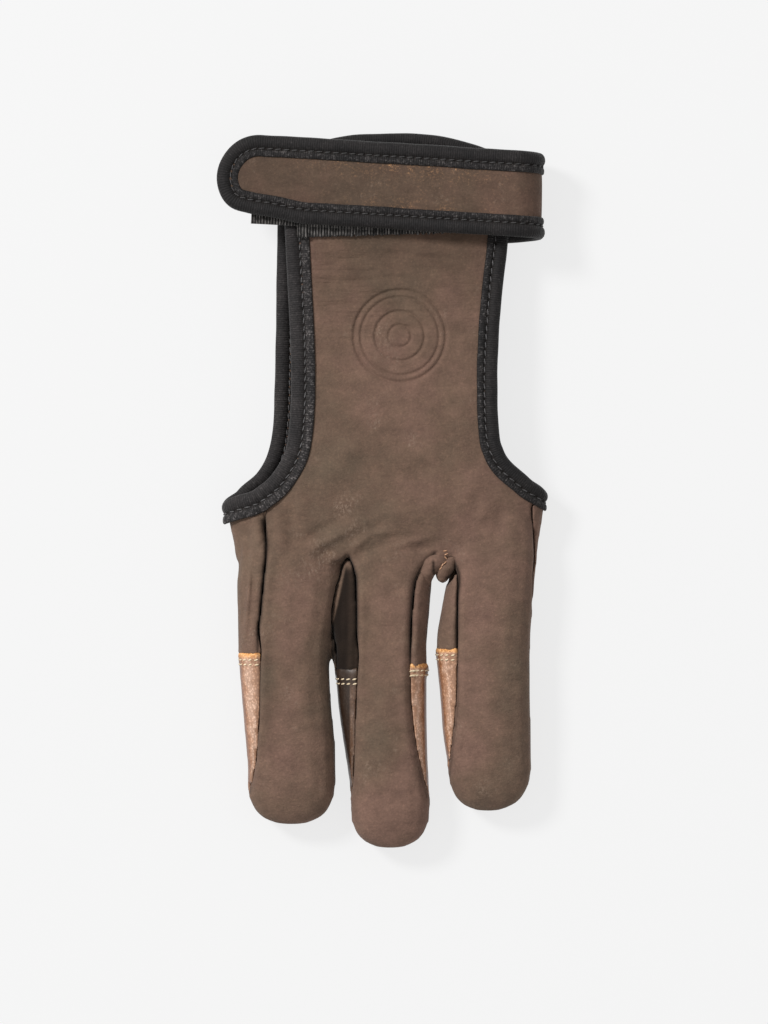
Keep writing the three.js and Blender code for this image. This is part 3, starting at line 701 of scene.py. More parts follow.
# Cream stitches: two rows of waxed thread through the top of each tan fingertip, along both flanks and
# under the finger.
def new_piece(name, bm):
    """The finished bmesh as a piece of the scene."""
    mesh = bpy.data.meshes.new(name)
    bm.to_mesh(mesh)
    bm.free()
    piece = bpy.data.objects.new(name, mesh)
    scene.collection.objects.link(piece)
    shade_smooth(piece)
    return piece


def thread(name, colour, pale):
    made, tree, where = begin_finish(name, {"Roughness": 0.6})
    twist = noise_at(tree, where, 3500, 2, 0.6)
    tone = colour_ramp(tree, twist, [(0.35, colour), (0.7, pale)])
    rough = ranged(tree, twist, 0.0, 1.0, 0.45, 0.8)
    return end_finish(made, tone, rough, bumped(tree, twist, 0.4, 0.00008))


def stitch_mesh(name, stitches, radius, length):
    """Short threads, each a rounded bar at a place, along a tangent, pressed on along a normal."""
    bar_bm = bmesh.new()
    bmesh.ops.create_uvsphere(bar_bm, u_segments=8, v_segments=7, radius=1)
    bar = [vertex.co.copy() for vertex in bar_bm.verts]
    bar_faces = [[vertex.index for vertex in face.verts] for face in bar_bm.faces]
    bar_bm.free()
    places, faces = [], []
    for place, tangent, normal in stitches:
        sideways = tangent.cross(normal).normalized()
        start = len(places)
        for spot in bar:
            turned = sideways * spot.x * radius + normal * spot.y * radius + tangent * spot.z * length / 2
            places.append((place + turned) * MM)
        faces.extend([start + index for index in face] for face in bar_faces)
    mesh = bpy.data.meshes.new(name)
    mesh.from_pydata(places, [], faces)
    bm = bmesh.new()
    bm.from_mesh(mesh)
    bpy.data.meshes.remove(mesh)
    bmesh.ops.recalc_face_normals(bm, faces=bm.faces)
    return new_piece(name, bm)


def surface_tree(piece):
    """The faces of a piece, for finding where a line meets them."""
    places = [vertex.co for vertex in piece.data.vertices]
    return BVHTree.FromPolygons(places, [face.vertices for face in piece.data.polygons])


CREAM_PITCH = 1.95
CREAM_RADIUS = 0.23
CREAM_LENGTH = 1.3
ROW_DEPTHS = [(1.55, 0.9), (2.85, 1.3)]
FINGER_MIDDLES = {"left": -27.5, "middle": -0.3, "right": 28.1}
FINGER_MIDDLE_UP = 7
AIMS = 720


def flank_stitches(tip, side, level, start):
    """Stitches round a fingertip below one level, wherever the tan leather is the outer surface."""
    centre = FINGER_MIDDLES[side]
    tree = surface_tree(tip)
    stitches = []
    since = start
    last = None
    for step in range(AIMS + 1):
        angle = math.radians(90 - 360 * step / AIMS)
        aim = Vector((math.cos(angle), 0, math.sin(angle)))
        middle = Vector((centre, level + edge_tilt(side, centre + 9 * aim.x), FINGER_MIDDLE_UP))
        spot, normal, _, _ = tree.ray_cast((middle + aim * 30) * MM, -aim)
        if spot is None or (spot / MM - middle).length < 4.5 or spot.z < 0.5 * MM:
            last = None
            continue
        if last is not None:
            since += (spot - last).length / MM
        if since >= CREAM_PITCH and last is not None:
            along = (spot - last).normalized()
            seat = 0.10 - 0.14 * (1 - abs(normal.z))
            stitches.append((spot / MM + normal * seat, (along + Vector((0, 0.22, 0))).normalized(), normal))
            since -= CREAM_PITCH
        last = spot
    return stitches


cream_thread = thread("cream_thread", (0.52, 0.38, 0.22), (0.88, 0.76, 0.56))
for side, (tip, edge_y) in tips.items():
    stitches = []
    for depth, start in ROW_DEPTHS:
        stitches += flank_stitches(tip, side, edge_y - depth, start)
    if side != "middle":
        hidden = FINGER_MIDDLES[side] + 6
        stitches = [stitch for stitch in stitches if stitch[0].x < hidden or stitch[0].z < 4]
    rows = stitch_mesh(f"fingertip_{side}_stitches", stitches, CREAM_RADIUS, CREAM_LENGTH)
    finish_piece(rows, cream_thread, "tan_leather")


# Gusset: the brown leather between the middle and the right finger, rolled over the fork from the
# left and meeting a small flap from the right, tacked together with copper brown thread. The rolls
# run through places of the picture, each with a height and a radius in mm.
GUSSET_ROLLS = [
    [(421, 594, 7.6, 1.0), (421.5, 584, 9.3, 2.2), (424.5, 573, 10.5, 2.7), (430, 564.5, 11.2, 2.9),
     (437, 560.5, 11.5, 2.8), (442.5, 562, 11.1, 2.3), (445, 567, 10.4, 1.5), (445, 571, 9.6, 0.6)],
    [(455, 554, 11.0, 0.9), (451, 559, 11.4, 1.9), (446.5, 565, 11.3, 2.4), (443.5, 571, 10.8, 2.3),
     (442.5, 576, 10.0, 1.9), (442.5, 580, 9.2, 1.0)],
]


CENTRED = Vector((-0.122, -18.503, 0))
MM_PER_PIXEL = 0.28


def from_picture(x, y, z):
    """A place over a point of the picture, z mm above the table."""
    return Vector(((x - 383) * MM_PER_PIXEL, (556 - y) * MM_PER_PIXEL, z)) + CENTRED


def wrapped_grid(bm, rings, uv_at=None, layers=None):
    """A grid wrapped into a closed tube through rings of points in mm, with both ends closed. uv_at
    gives a place on the tube's UV map, and layers the values of named layers, by ring and column."""
    runs, count = len(rings) - 1, len(rings[0])
    grid = bmesh.ops.create_grid(bm, x_segments=runs, y_segments=count, size=0.5, calc_uvs=False)["verts"]
    bm.verts.index_update()
    at = {}
    for vertex in grid:
        at[vertex.index] = (round((vertex.co.x + 0.5) * runs), round((vertex.co.y + 0.5) * count))
    if uv_at:
        uv_layer = bm.loops.layers.uv.verify()
        for face in bm.faces:
            for loop in face.loops:
                loop[uv_layer].uv = uv_at(*at[loop.vert.index])
    for vertex in grid:
        run, column = at[vertex.index]
        vertex.co = rings[run][column % count] * MM
        for layer, values in (layers or {}).items():
            vertex[layer] = values[run][column % count]
    bmesh.ops.remove_doubles(bm, verts=grid, dist=0.0001 * MM)
    bmesh.ops.holes_fill(bm, edges=[edge for edge in bm.edges if edge.is_boundary], sides=0)
    bmesh.ops.triangulate(bm, faces=[face for face in bm.faces if len(face.verts) > 4])
    bmesh.ops.recalc_face_normals(bm, faces=bm.faces)


def roll(bm, points, sides=20, steps=10):
    """A soft roll of leather through places with a radius each, its ends drawn to a point."""
    knots = [Vector((*from_picture(x, y, z), radius)) for x, y, z, radius in points]
    line = spline(knots, steps)
    rings = []
    for i, knot in enumerate(line):
        place, radius = Vector(knot[:3]), knot[3]
        ahead = Vector(line[min(i + 1, len(line) - 1)][:3]) - Vector(line[max(i - 1, 0)][:3])
        sideways = ahead.cross(Vector((0, 0, 1))).normalized()
        above = sideways.cross(ahead).normalized()
        ring = []
        for k in range(sides):
            angle = 2 * math.pi * k / sides
            crinkle = 1 + 0.12 * noise.noise(Vector((i / 7, math.cos(angle) * 1.3, math.sin(angle) * 1.3)))
            spot = sideways * math.cos(angle) + above * math.sin(angle) * 1.15
            ring.append(place + spot * radius * crinkle)
        rings.append(ring)
    wrapped_grid(bm, rings)


gusset_bm = bmesh.new()
for points in GUSSET_ROLLS:
    roll(gusset_bm, points)
gusset = new_piece("fork_gusset", gusset_bm)
SLIT = [(433.0, 562.0), (433.5, 573.0)]
FLAP_FOLD = [(446.0, 578.0), (452.0, 574.0)]


def gusset_shade(x, y, z):
    """Painted shade along the slit between the two rolls and under the flap's lower edge."""
    spot = Vector((x, y))
    shade = 0.0
    for start, end in (SLIT, FLAP_FOLD):
        start, end = from_picture(*start, 0).xy, from_picture(*end, 0).xy
        share = clamped((spot - start).dot(end - start) / (end - start).length_squared)
        shade = max(shade, 0.92 * hump((spot - start.lerp(end, share)).length, 0.42))
    return shade


paint(gusset, "shade", gusset_shade)
finish_piece(gusset, brown_leather, "brown_leather", "gusset")
# Tacks: a place of the picture, then how far the thread runs to the right and down there.
TACKS = [
    (444.8, 550.6, -1.0, 0.1), (445.8, 554.0, -1.0, 0.5), (445.2, 557.6, -0.8, -0.5),
    (444.6, 562.4, 0.8, -0.6), (441.8, 564.6, 0.5, -1.0), (440.6, 568.0, 0.9, -0.7),
]
cover = [surface_tree(piece) for piece in (gusset, back)]
tack_stitches = []
for x, y, ahead, beside in TACKS:
    start = from_picture(x, y, 40) * MM
    hits = [tree.ray_cast(start, Vector((0, 0, -1)))[:2] for tree in cover]
    spot, normal = max((hit for hit in hits if hit[0]), key=lambda hit: hit[0].z)
    tangent = Vector((ahead, -beside, 0))
    tangent = (tangent - normal * tangent.dot(normal)).normalized()
    tack_stitches.append((spot / MM + normal * 0.12, tangent, normal))
tack_thread = thread("tack_thread", (0.26, 0.105, 0.045), (0.74, 0.47, 0.30))
tacks = stitch_mesh("fork_tacks", tack_stitches, 0.18, 1.2)
finish_piece(tacks, tack_thread, "brown_leather")


# Side bindings: woven charcoal tape folded over the edge of each side opening, down the back panel,
# round the side of the knuckles and up the palm panel. It has a plump outer roll, a stitched groove
# and a flatter inner lip. The lines below follow the same rounded hand as the panels.
LEATHER = 1.3
HAND_LENGTH = 115.2
HAND_HALF = {-1: 44, 1: 45}
KNUCKLE_HIGH = 16.5
WRIST_HIGH = 13
WRIST_LIFT = 1.2
ROUNDNESS = 2.6
SIDE_SHARE = 0.43
PRESSED = 0.35
HAND_ROWS = [
    (0.07, 0.96, 0.0, 0.0),
    (0.12, 1.00, 0.0, 0.0),
    (0.20, 1.00, 0.0, 0.0),
    (0.30, 0.96, 0.03, 0.0),
    (0.50, 0.60, 0.40, 0.0),
    (0.72, 0.10, 0.90, 0.1),
    (0.88, 0.0, 1.0, 0.8),
    (1.06, 0.0, 1.0, 1.0),
]


def between(rows, column, value):
    """A column of a table at a value of its first column, on a smooth curve through the rows."""
    last = len(rows) - 1
    at = max(0, min(last - 1, sum(1 for row in rows if row[0] <= value) - 1))
    span = rows[at + 1][0] - rows[at][0]
    share = clamped((value - rows[at][0]) / span)
    slopes = []
    for i in (at, at + 1):
        before, after = rows[max(0, i - 1)], rows[min(last, i + 1)]
        slopes.append((after[column] - before[column]) / (after[0] - before[0]) * span)
    start, end = rows[at][column], rows[at + 1][column]
    rise = end - start
    curve = (3 * rise - 2 * slopes[0] - slopes[1]) * share ** 2
    return start + slopes[0] * share + curve + (slopes[0] + slopes[1] - 2 * rise) * share ** 3


def hand_point(angle, along, side, depth):
    """A point depth mm inside the hand's skin. Angle 0 is the side and a quarter turn the top."""
    top = between(HAND_ROWS, 1, along) * KNUCKLE_HIGH + between(HAND_ROWS, 2, along) * WRIST_HIGH
    low = between(HAND_ROWS, 3, along) * WRIST_LIFT
    middle = low + (top - low) * SIDE_SHARE
    x = side * max(0.0, math.cos(angle)) ** (2 / ROUNDNESS) * (HAND_HALF[side] - depth)
    rise = abs(math.sin(angle)) ** (2 / ROUNDNESS)
    over = middle + (top - middle - depth) * rise
    under = max(middle - (middle - low + PRESSED - depth) * rise, low + depth)
    return Vector((x, along * HAND_LENGTH, over if angle >= 0 else under)) + CENTRED


def even_stations(points, normals, spacing):
    """Stations of place, tangent and normal at even steps along a line of points."""
    lengths = [0.0]
    for a, b in zip(points, points[1:]):
        lengths.append(lengths[-1] + (b - a).length)
    count = max(2, round(lengths[-1] / spacing))
    places, ups = [], []
    at = 0
    for step in range(count + 1):
        along = lengths[-1] * step / count
        while at < len(points) - 2 and lengths[at + 1] < along:
            at += 1
        share = (along - lengths[at]) / (lengths[at + 1] - lengths[at])
        places.append(points[at].lerp(points[at + 1], share))
        ups.append(normals[at].lerp(normals[at + 1], share))
    stations = []
    for i, place in enumerate(places):
        tangent = (places[min(i + 2, count)] - places[max(i - 2, 0)]).normalized()
        normal = (ups[i] - tangent * ups[i].dot(tangent)).normalized()
        stations.append((place, tangent, normal, lengths[-1] * i / count))
    return stations


PITCH = 2.3
# The tape's section from the inner lip to the outer roll: across the panel's edge, and above it.
TAPE_TOP = [
    (-3.00, 0.80), (-2.96, 1.08), (-2.76, 1.30), (-2.35, 1.42), (-1.85, 1.42), (-1.40, 1.30),
    (-1.10, 1.08), (-0.85, 0.92), (-0.60, 0.98), (-0.30, 1.26), (0.20, 1.54), (0.80, 1.68),
    (1.40, 1.66), (2.00, 1.46), (2.50, 1.10), (2.86, 0.60),
]
GROOVE_AT = -0.82
SLOT = 0.72
SLOT_END = 0.3


def lay_tape(name, stations, outside, widen=1.0, edge=1.0):
    """Tape folded over an edge: outside is +1 or -1, where tangent x normal leaves the panel or
    enters it. Its UV map is in mm: along the tape, and round its section."""
    top = [(u * (widen if u < 0 else edge), v) for u, v in TAPE_TOP]
    section = top + [(3.0 * edge, 0.0)] + [(u, -v) for u, v in reversed(top)]
    section += [(-3.0 * widen, -SLOT), (-1.4, -SLOT), (SLOT_END, -SLOT), (SLOT_END, 0.0)]
    section += [(SLOT_END, SLOT), (-1.4, SLOT), (-3.0 * widen, SLOT)]
    rounds = [0.0]
    for (u0, v0), (u1, v1) in zip(section, section[1:] + section[:1]):
        rounds.append(rounds[-1] + math.hypot(u1 - u0, v1 - v0))
    rings, shades, lips = [], [], []
    for place, tangent, normal, along in stations:
        sideways = tangent.cross(normal) * outside
        hole = hump((((along / PITCH + 0.5) % 1) - 0.5) * PITCH, 0.42)
        wave = noise.noise(Vector((along / 7, 3.7 * outside, len(stations))))
        plump = noise.noise(Vector((along / 3.1, 9.1, len(stations))))
        ring, shade, lip = [], [], []
        for u, v in section:
            outer = abs(v) > SLOT
            in_groove = hump(u - GROOVE_AT, 0.42) if outer else 0.0
            on_lip = hump(u + 2.2 * widen, 0.7) if outer else 0.0
            on_roll = hump(u - 1.4, 1.2) if outer else 0.0
            dip = 0.30 * hole * in_groove + 0.12 * hole * on_lip - 0.08 * plump * on_roll
            spot = sideways * (u + 0.16 * wave * (1 if abs(u) > 2 else 0.4))
            ring.append(place + spot + normal * (v - math.copysign(dip, v)))
            # Painted shade in the groove, deeper at the needle holes, and along the lip's inner edge.
            shade.append(max((0.45 + 0.4 * hole) * in_groove, 0.8 * (u < -2.92 * widen)))
            lip.append(1.0 if u < GROOVE_AT else 0.0)
        rings.append(ring)
        shades.append(shade)
        lips.append(lip)
    bm = bmesh.new()
    bm.loops.layers.uv.new("tape")
    layers = {bm.verts.layers.float.new("shade"): shades, bm.verts.layers.float.new("lip"): lips}
    wrapped_grid(bm, rings, lambda run, column: (stations[run][3], rounds[column]), layers)
    return new_piece(name, bm)


def follow_glove(piece):
    """Move a piece with the soft waves of the leather below it, and keep it on the table."""
    for vertex in piece.data.vertices:
        vertex.co.z = max(0.0, vertex.co.z + glove_rise(*(vertex.co / MM)) * MM)


THREAD_RADIUS = 0.19
THREAD_LENGTH = 1.75


def sew_tape(name, stations, outside, material, faces=(1, -1)):
    """Stitches in the tape's groove, one between each two needle holes, as one piece."""
    stitches = []
    last = stations[-1][3]
    for step in range(int(last / PITCH)):
        along = (step + 0.5) * PITCH
        at = min(len(stations) - 1, round(along / last * (len(stations) - 1)))
        place, tangent, normal, _ = stations[at]
        sideways = tangent.cross(normal) * outside
        slant = (tangent + sideways * 0.16).normalized()
        for face in faces:
            stitches.append((place + sideways * GROOVE_AT + normal * face * 1.08, slant, normal))
    rows = stitch_mesh(f"{name}_stitches", stitches, THREAD_RADIUS, THREAD_LENGTH)
    finish_piece(rows, material, "binding_tape")
    return rows


TAPE_DARK = (0.0070, 0.0060, 0.0060)
TAPE_GREY = (0.0175, 0.0155, 0.0155)
LIP_PALE = (0.088, 0.081, 0.079)


def woven_tape(name, painted_lightness):
    """Ribbed tape, smooth and dark on its roll and coarse and speckled on its lip, its tone scaled as
    painted light.
    """
    gloss = {"Roughness": 0.8, "Specular IOR Level": 0.24, "Sheen Weight": 0.10, "Sheen Roughness": 0.4}
    made, tree, where = begin_finish(name, gloss)
    flat = add_node(tree, "ShaderNodeUVMap", uv_map="tape").outputs["UV"]
    ribs = add_node(tree, "ShaderNodeTexWave", Scale=0.50, Distortion=2.2, Detail=1.5, Detail_Scale=2.0)
    ribs.bands_direction = "X"
    tree.links.new(flat, ribs.inputs["Vector"])
    specks = noise_at(tree, where, 1350, 4, 0.75)
    clouds = noise_at(tree, where, 150, 3, 0.6)
    smooth = colour_ramp(tree, specks, [(0.38, TAPE_DARK), (0.60, TAPE_GREY), (0.78, (0.06, 0.056, 0.055))])
    coarse = colour_ramp(tree, specks, [(0.42, TAPE_DARK), (0.54, TAPE_GREY), (0.66, LIP_PALE)])
    tone = mixed(tree, "MIX", read_layer(tree, "lip"), smooth, coarse)
    tone = mixed(tree, "MULTIPLY", 1.0, tone, grey_ramp(tree, ribs.outputs["Fac"], (0.1, 0.66), (0.8, 1.18)))
    # Cloudy dust, and the whole tone scaled by the painted lightness.
    dust_and_painted_light = colour_ramp(tree, clouds, [
        (0.35, (0.72 * painted_lightness, 0.72 * painted_lightness, 0.73 * painted_lightness)),
        (0.65, (1.30 * painted_lightness, 1.27 * painted_lightness, 1.25 * painted_lightness)),
    ])
    tone = shaded(tree, mixed(tree, "MULTIPLY", 1.0, tone, dust_and_painted_light))
    normal = bumped(tree, ribs.outputs["Fac"], 0.45, 0.00018)
    normal = bumped(tree, specks, 0.45, 0.00020, normal)
    return end_finish(made, tone, ranged(tree, specks, 0.0, 1.0, 0.55, 0.95), normal)


# Lit and shaded copies of one tape, as painted light: the left side binding's is painted much lighter.
tape_cloth = woven_tape("binding_tape", 0.90)
side_cloths = {"left": woven_tape("binding_tape_lit", 1.40), "right": tape_cloth}
black_thread = thread("black_thread", (0.020, 0.0185, 0.019), (0.120, 0.114, 0.114))
# Each side opening, from the wrist to the knuckles: a level as a share of the hand's length, and the
# edge of the back panel and of the palm there, as shares of their half widths.
LEFT_OPENING = [
    (0.895, 0.850, 0.930),
    (0.720, 0.820, 0.940),
    (0.560, 0.785, 0.950),
    (0.428, 0.772, 0.958),
    (0.311, 0.789, 0.980),
    (0.240, 0.845, 1.035),
    (0.185, 0.970, 1.160),
    (0.150, 1.115, 1.320),
    (0.126, 1.290, 1.430),
]
RIGHT_OPENING = [
    (0.895, 1.140, 1.130),
    (0.768, 1.105, 1.090),
    (0.627, 1.044, 1.040),
    (0.451, 1.000, 0.995),
    (0.300, 1.014, 1.010),
    (0.250, 1.060, 1.060),
    (0.213, 1.153, 1.160),
    (0.180, 1.296, 1.300),
    (0.156, 1.420, 1.440),
]
BACK_HALF = 29.4
PALM_HALF = 28.6
STATION = 0.46


def opening_stations(rows, side_along, rear_end, side):
    """Stations down the back panel's edge, round the side of the knuckles and up the palm's edge."""
    def angle_of(across, along):
        return math.acos(min(across / HAND_HALF[side], 1) ** (ROUNDNESS / 2))
    front = [Vector((angle_of(row[1] * BACK_HALF, row[0]), row[0])) for row in rows]
    rear = [Vector((-angle_of(row[2] * PALM_HALF, row[0]), row[0])) for row in rows if row[0] <= rear_end]
    line = spline(front + [Vector((0, side_along))] + rear[::-1], 16)
    places, normals = [], []
    for spot in line:
        places.append(hand_point(spot.x, spot.y, side, LEATHER / 2))
        tilt = hand_point(spot.x + 0.02, spot.y, side, 0) - hand_point(spot.x - 0.02, spot.y, side, 0)
        normals.append(Vector((tilt.z * side, 0, -tilt.x * side)).normalized())
    return even_stations(places, normals, STATION)


bindings = (
    ("left", LEFT_OPENING, 0.108, 0.90, -1, 1.2, 1.08),
    ("right", RIGHT_OPENING, 0.136, 0.77, 1, 1.0, 0.98),
)
for name, rows, side_along, rear_end, side, widen, edge in bindings:
    stations = opening_stations(rows, side_along, rear_end, side)
    tape = lay_tape(f"side_tape_{name}", stations, -side, widen, edge)
    follow_glove(tape)
    finish_piece(tape, side_cloths[name], "binding_tape", f"side_binding_{name}")
    follow_glove(sew_tape(f"side_tape_{name}", stations, -side, black_thread))


# Wrist binding: the same tape round the palm panel's edge at the wrist, seen as an arc above the
# strap. Its rows follow that edge: a share of its half width, and of the hand's length there.
WRIST_ROWS = [
    (-1.06, 0.919), (-1.00, 0.930), (-0.80, 0.962), (-0.45, 0.990),
    (-0.05, 1.000), (0.45, 0.997), (0.85, 0.976), (1.12, 0.950),
]
WRIST_STEPS = 60
wrist_points = []
for step in range(WRIST_STEPS + 1):
    across = WRIST_ROWS[0][0] + (WRIST_ROWS[-1][0] - WRIST_ROWS[0][0]) * step / WRIST_STEPS
    y = between(WRIST_ROWS, 1, across) * HAND_LENGTH
    wrist_points.append(Vector((across * PALM_HALF, y, WRIST_LIFT + LEATHER / 2)) + CENTRED)
wrist_stations = even_stations(wrist_points, [Vector((0, 0, 1))] * len(wrist_points), STATION)
wrist_tape = lay_tape("wrist_tape", wrist_stations, -1)
for vertex in wrist_tape.data.vertices:
    vertex.co.z = max(vertex.co.z, 0.1 * MM)
finish_piece(wrist_tape, tape_cloth, "binding_tape", "wrist_binding")
sew_tape("wrist_tape", wrist_stations, -1, black_thread, (1,))


# Strap: brown leather, sewn inside the palm at the right, folded round the right edge and laid over
# the back of the wrist to a rounded end. Worn copper specks show along its edges.
STRAP_REACH = 46.2
STRAP_FOLD = 45.2
STRAP_AT = 100.2
STRAP_SLOPE = 0.0615
STRAP_DROOP = 2.2
STRAP_HALF = 9.0
STRAP_TOP = 17.7
STRAP_REAR = 3.45
FOLD_RADIUS = (STRAP_TOP - STRAP_REAR) / 2
FOLD_CENTRE = STRAP_FOLD - 1.7 - FOLD_RADIUS
TONGUE_START = 22.318
FOLD_START = FOLD_CENTRE - TONGUE_START
FOLD_END = FOLD_START + math.pi * FOLD_RADIUS
STRAP_LENGTH = FOLD_END + FOLD_CENTRE + STRAP_REACH - 3
END_START = STRAP_LENGTH - STRAP_HALF
# How much higher the lower edge lies at an x near the free end.
STRAP_LIFT = [
    (-46.0, 0.0), (-42.0, 0.2), (-40.4, 0.7), (-38.8, 1.3), (-37.0, 1.7), (-33.0, 1.6),
    (-29.8, 1.2), (-26.7, 0.7), (-24.2, 0.35), (-20.6, 0.0), (-16.0, 0.0),
]


def strap_point(along, across, out):
    """A point of the strap: along its middle line, across it and out from it, in mm. Its lower edge
    is cut a little slanting towards the free end."""
    if along < FOLD_START:
        x, z, ahead = TONGUE_START + along, STRAP_REAR, Vector((1, 0))
    elif along < FOLD_END:
        turn = (along - FOLD_START) / FOLD_RADIUS - math.pi / 2
        x = FOLD_CENTRE + FOLD_RADIUS * math.cos(turn)
        z = STRAP_REAR + FOLD_RADIUS + FOLD_RADIUS * math.sin(turn)
        ahead = Vector((-math.sin(turn), math.cos(turn)))
    else:
        x, z, ahead = FOLD_CENTRE - (along - FOLD_END), STRAP_TOP, Vector((-1, 0))
    if x < 0 and along > FOLD_END:
        z -= STRAP_DROOP * (x / STRAP_REACH) ** 2
    y = STRAP_AT + STRAP_SLOPE * (along - FOLD_START - math.pi * FOLD_RADIUS / 2)
    if x < -16 and across < 0:
        y += between(STRAP_LIFT, 1, x) * min(1.0, -across / STRAP_HALF)
    tangent = Vector((ahead.x, STRAP_SLOPE, ahead.y)).normalized()
    normal = Vector((ahead.y, 0, -ahead.x)).normalized()
    sideways = tangent.cross(normal).normalized()
    return Vector((x, y, z)) + sideways * across + normal * out + CENTRED


def strap_wave(along, across):
    """Slight unevenness of the strap, the same for its leather, its tape and the stitches."""
    return 0.22 * noise.noise(Vector((along / 13, across / 16, 5.5)))


def grid_piece(name, columns, rows, place_at, thick, relief=None):
    """A thin piece from a grid of two shares, each point put in place by place_at, then thickened.
    relief(x) raises the outer face alone."""
    bm = bmesh.new()
    bmesh.ops.create_grid(bm, x_segments=columns, y_segments=rows, size=0.5, calc_uvs=False)
    for vertex in bm.verts:
        vertex.co = place_at(vertex.co.x + 0.5, vertex.co.y + 0.5) * MM
    bm.normal_update()
    middle = min(bm.faces, key=lambda face: (face.calc_center_median() - place_at(0.6, 0.5) * MM).length)
    if middle.normal.z < 0:
        bmesh.ops.reverse_faces(bm, faces=bm.faces)
        bm.normal_update()
    outer = list(bm.verts)
    bmesh.ops.solidify(bm, geom=bm.faces, thickness=thick * MM)
    bmesh.ops.recalc_face_normals(bm, faces=bm.faces)
    for vertex in outer if relief else ():
        vertex.co.z += relief(vertex.co.x / MM) * MM
    return new_piece(name, bm)


STRAP_INSIDE = STRAP_HALF - 0.4


def strap_leather_point(run, over):
    along = run * (END_START + STRAP_HALF * 0.985)
    half = STRAP_INSIDE
    if along < FOLD_START:
        half -= 2.5
    elif along > END_START:
        half *= math.sqrt(max(0.0, 1 - ((along - END_START) / STRAP_HALF) ** 2))
    across = (over * 2 - 1) * half
    pillow = 0.35 * (1 - (2 * over - 1) ** 4)
    return strap_point(along, across, strap_wave(along, across) + pillow - 0.2 + LEATHER / 2)


strap = grid_piece("strap_panel", 260, 40, strap_leather_point, LEATHER)


def strap_skin(name):
    """The same nubuck a little darker, with flecks rubbed down to copper where the strap is worn."""
    made = nubuck(name, (0.080, 0.056, 0.040), (0.095, 0.062, 0.044), (0.114, 0.068, 0.050))
    tree = made.node_tree
    shader = tree.nodes["Principled BSDF"]
    below = shader.inputs["Base Color"].links[0].from_socket
    where = add_node(tree, "ShaderNodeTexCoord").outputs["Object"]
    flecks = noise_at(tree, where, 1500, 6, 0.85)
    patches = noise_at(tree, where, 260, 5, 0.75)
    fleck, patch = ranged(tree, flecks, 0.50, 0.64), ranged(tree, patches, 0.42, 0.60)
    amount = reckoned(tree, "MULTIPLY", fleck, patch, read_layer(tree, "worn"))
    copper = colour_ramp(tree, flecks, [(0.50, (0.26, 0.125, 0.06)), (0.70, (0.60, 0.34, 0.17))])
    tree.links.new(mixed(tree, "MIX", amount, below, copper), shader.inputs["Base Color"])
    return made


def strap_wear(x, y, z):
    """How worn the strap is: most in its middle stretch, along both tapes."""
    middle_y = STRAP_AT + CENTRED.y - STRAP_SLOPE * x + 2.0
    if z < 12:
        return 0.0
    return hump(x - 8, 22) * (0.12 + 0.88 * min(1.0, (abs(y - middle_y) / 6.5) ** 2))


paint(strap, "worn", strap_wear)
# The strap is made darker towards its free end, through its shade layer.
paint(strap, "shade", lambda x, y, z: 0.14 * ramp(-x, 5, 40))
finish_piece(strap, strap_skin("strap_nubuck"), "strap_leather", "strap_leather")


# Strap binding: the same tape round the strap's two long edges and its rounded end.
TAPE_UNDER = 7
EDGE_STEPS = 180
END_STEPS = 60
edge_line = []
for step in range(EDGE_STEPS + 1):
    start = FOLD_START - TAPE_UNDER
    edge_line.append((start + (END_START - start) * step / EDGE_STEPS, -STRAP_HALF))
for step in range(1, END_STEPS):
    turn = math.pi * (step / END_STEPS - 0.5)
    edge_line.append((END_START + STRAP_HALF * math.cos(turn), STRAP_HALF * math.sin(turn)))
for step in range(EDGE_STEPS + 1):
    edge_line.append((END_START - (END_START - FOLD_START) * step / EDGE_STEPS, STRAP_HALF))
strap_points = [strap_point(along, across, strap_wave(along, across)) for along, across in edge_line]
strap_ups = [strap_point(along, across, 1) - strap_point(along, across, 0) for along, across in edge_line]
strap_stations = even_stations(strap_points, strap_ups, STATION)
strap_tape = lay_tape("strap_tape", strap_stations, -1)
finish_piece(strap_tape, tape_cloth, "binding_tape", "strap_binding")
dark_thread = thread("dark_thread", (0.013, 0.012, 0.012), (0.062, 0.058, 0.058))
sew_tape("strap_tape", strap_stations, -1, dark_thread)


# Loop band: a strip of ribbed black loop cloth sewn across the top of the back panel. The strap's
# hook patch presses onto it.
BAND_LEFT = -24.0
BAND_RIGHT = 27.5
BAND_LOW = 70.3
BAND_HIGH = 84.4
RIB = 0.80
RIB_HIGH = 0.18


def rib_wave(x):
    """The ribs of the cloth at x, from about -1 to 1, a little uneven in pitch and in height."""
    drift = 1.8 * noise.noise(Vector((x / 2.2, 4, 4)))
    return math.cos(2 * math.pi * x / RIB + drift) * (0.78 + 0.5 * noise.noise(Vector((x / 0.9, 9, 4))))


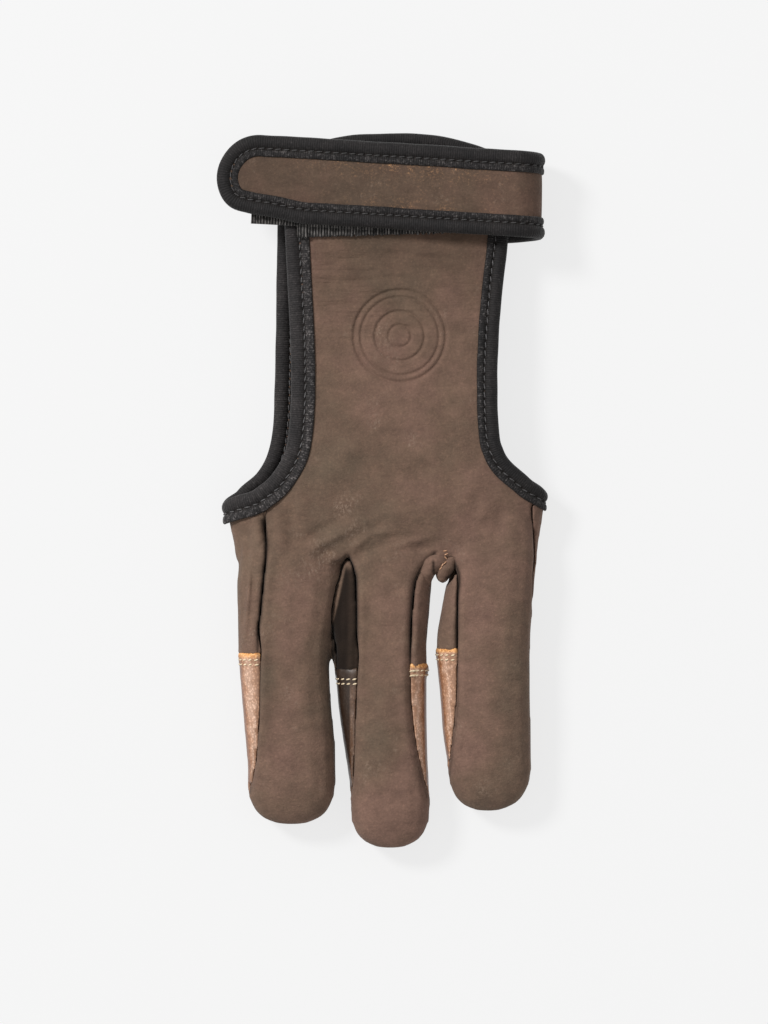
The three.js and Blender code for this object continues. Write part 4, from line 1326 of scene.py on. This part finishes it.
def band_point(run, over):
    x = BAND_LEFT + (BAND_RIGHT - BAND_LEFT) * run
    low = BAND_LOW + 0.03 * (x - BAND_LEFT)
    y = low + (BAND_HIGH - low) * over
    side = -1 if x < 0 else 1
    angle = math.acos(min(1, (abs(x) / HAND_HALF[side]) ** (ROUNDNESS / 2)))
    spot = hand_point(angle, (y - CENTRED.y) / HAND_LENGTH, side, -1.5)
    over_tape = 0.9 * clamped((-20.5 - x) / 1.2)
    loose = 0.55 * noise.noise(Vector((x * 1.3, 2, 1))) + 0.15 * rib_wave(x)
    return Vector((x, y + loose * (1 - over), spot.z + over_tape))


def loop_cloth(name):
    gloss = {"Roughness": 0.85, "Specular IOR Level": 0.25, "Sheen Weight": 0.2, "Sheen Roughness": 0.4}
    made, tree, where = begin_finish(name, gloss)
    loops = noise_at(tree, where, 1100, 4, 0.7, (1.0, 0.5, 1.0))
    # Painted light and shade on the ribs: lighter on their crests, darker in their hollows.
    ribs = colour_ramp(tree, read_layer(tree, "rib"), [
        (0.15, (0.014, 0.0125, 0.012)),
        (0.55, (0.044, 0.040, 0.038)),
        (0.90, (0.125, 0.116, 0.110)),
    ])
    broken = grey_ramp(tree, loops, (0.38, 0.22), (0.60, 1.55))
    tone = mixed(tree, "MULTIPLY", 1.0, ribs, broken)
    rough = ranged(tree, loops, 0.0, 1.0, 0.65, 0.95)
    return end_finish(made, tone, rough, bumped(tree, loops, 0.5, 0.0002))


def ribbed_piece(name, columns, rows, place_at, thick, node):
    """A strip of ribbed cloth that stands in for a node."""
    piece = grid_piece(name, columns, rows, place_at, thick, lambda x: RIB_HIGH * rib_wave(x))
    # The ribs' heights, which the cloth's painted light and shade follow.
    paint(piece, "rib", lambda x, y, z: 0.5 + 0.5 * rib_wave(x))
    finish_piece(piece, band_cloth, "loop_band", node)
    return piece


band_cloth = loop_cloth("loop_cloth")
band = ribbed_piece("ribbed_band", 640, 14, band_point, 1.2, "loop_band")


# Hook patch: the ribbed hook tape sewn under the strap's free end. Its lower edge and corner show
# below the strap.
PATCH_LENGTH = 34
PATCH_WIDTH = 22.4
PATCH_LOW = -12.5
PATCH_UNDER = -2.0
PATCH_FROM = END_START + STRAP_HALF / 3 - 1.2 - PATCH_LENGTH


def patch_point(run, over):
    along = PATCH_FROM + PATCH_LENGTH * run
    across = PATCH_LOW - 0.25 * run + PATCH_WIDTH * over
    place = strap_point(along, 0, PATCH_UNDER)
    sideways = strap_point(along, 1, PATCH_UNDER) - place
    return place + sideways * across


patch = ribbed_piece("hook_tape", 420, 24, patch_point, 0.9, "hook_patch")
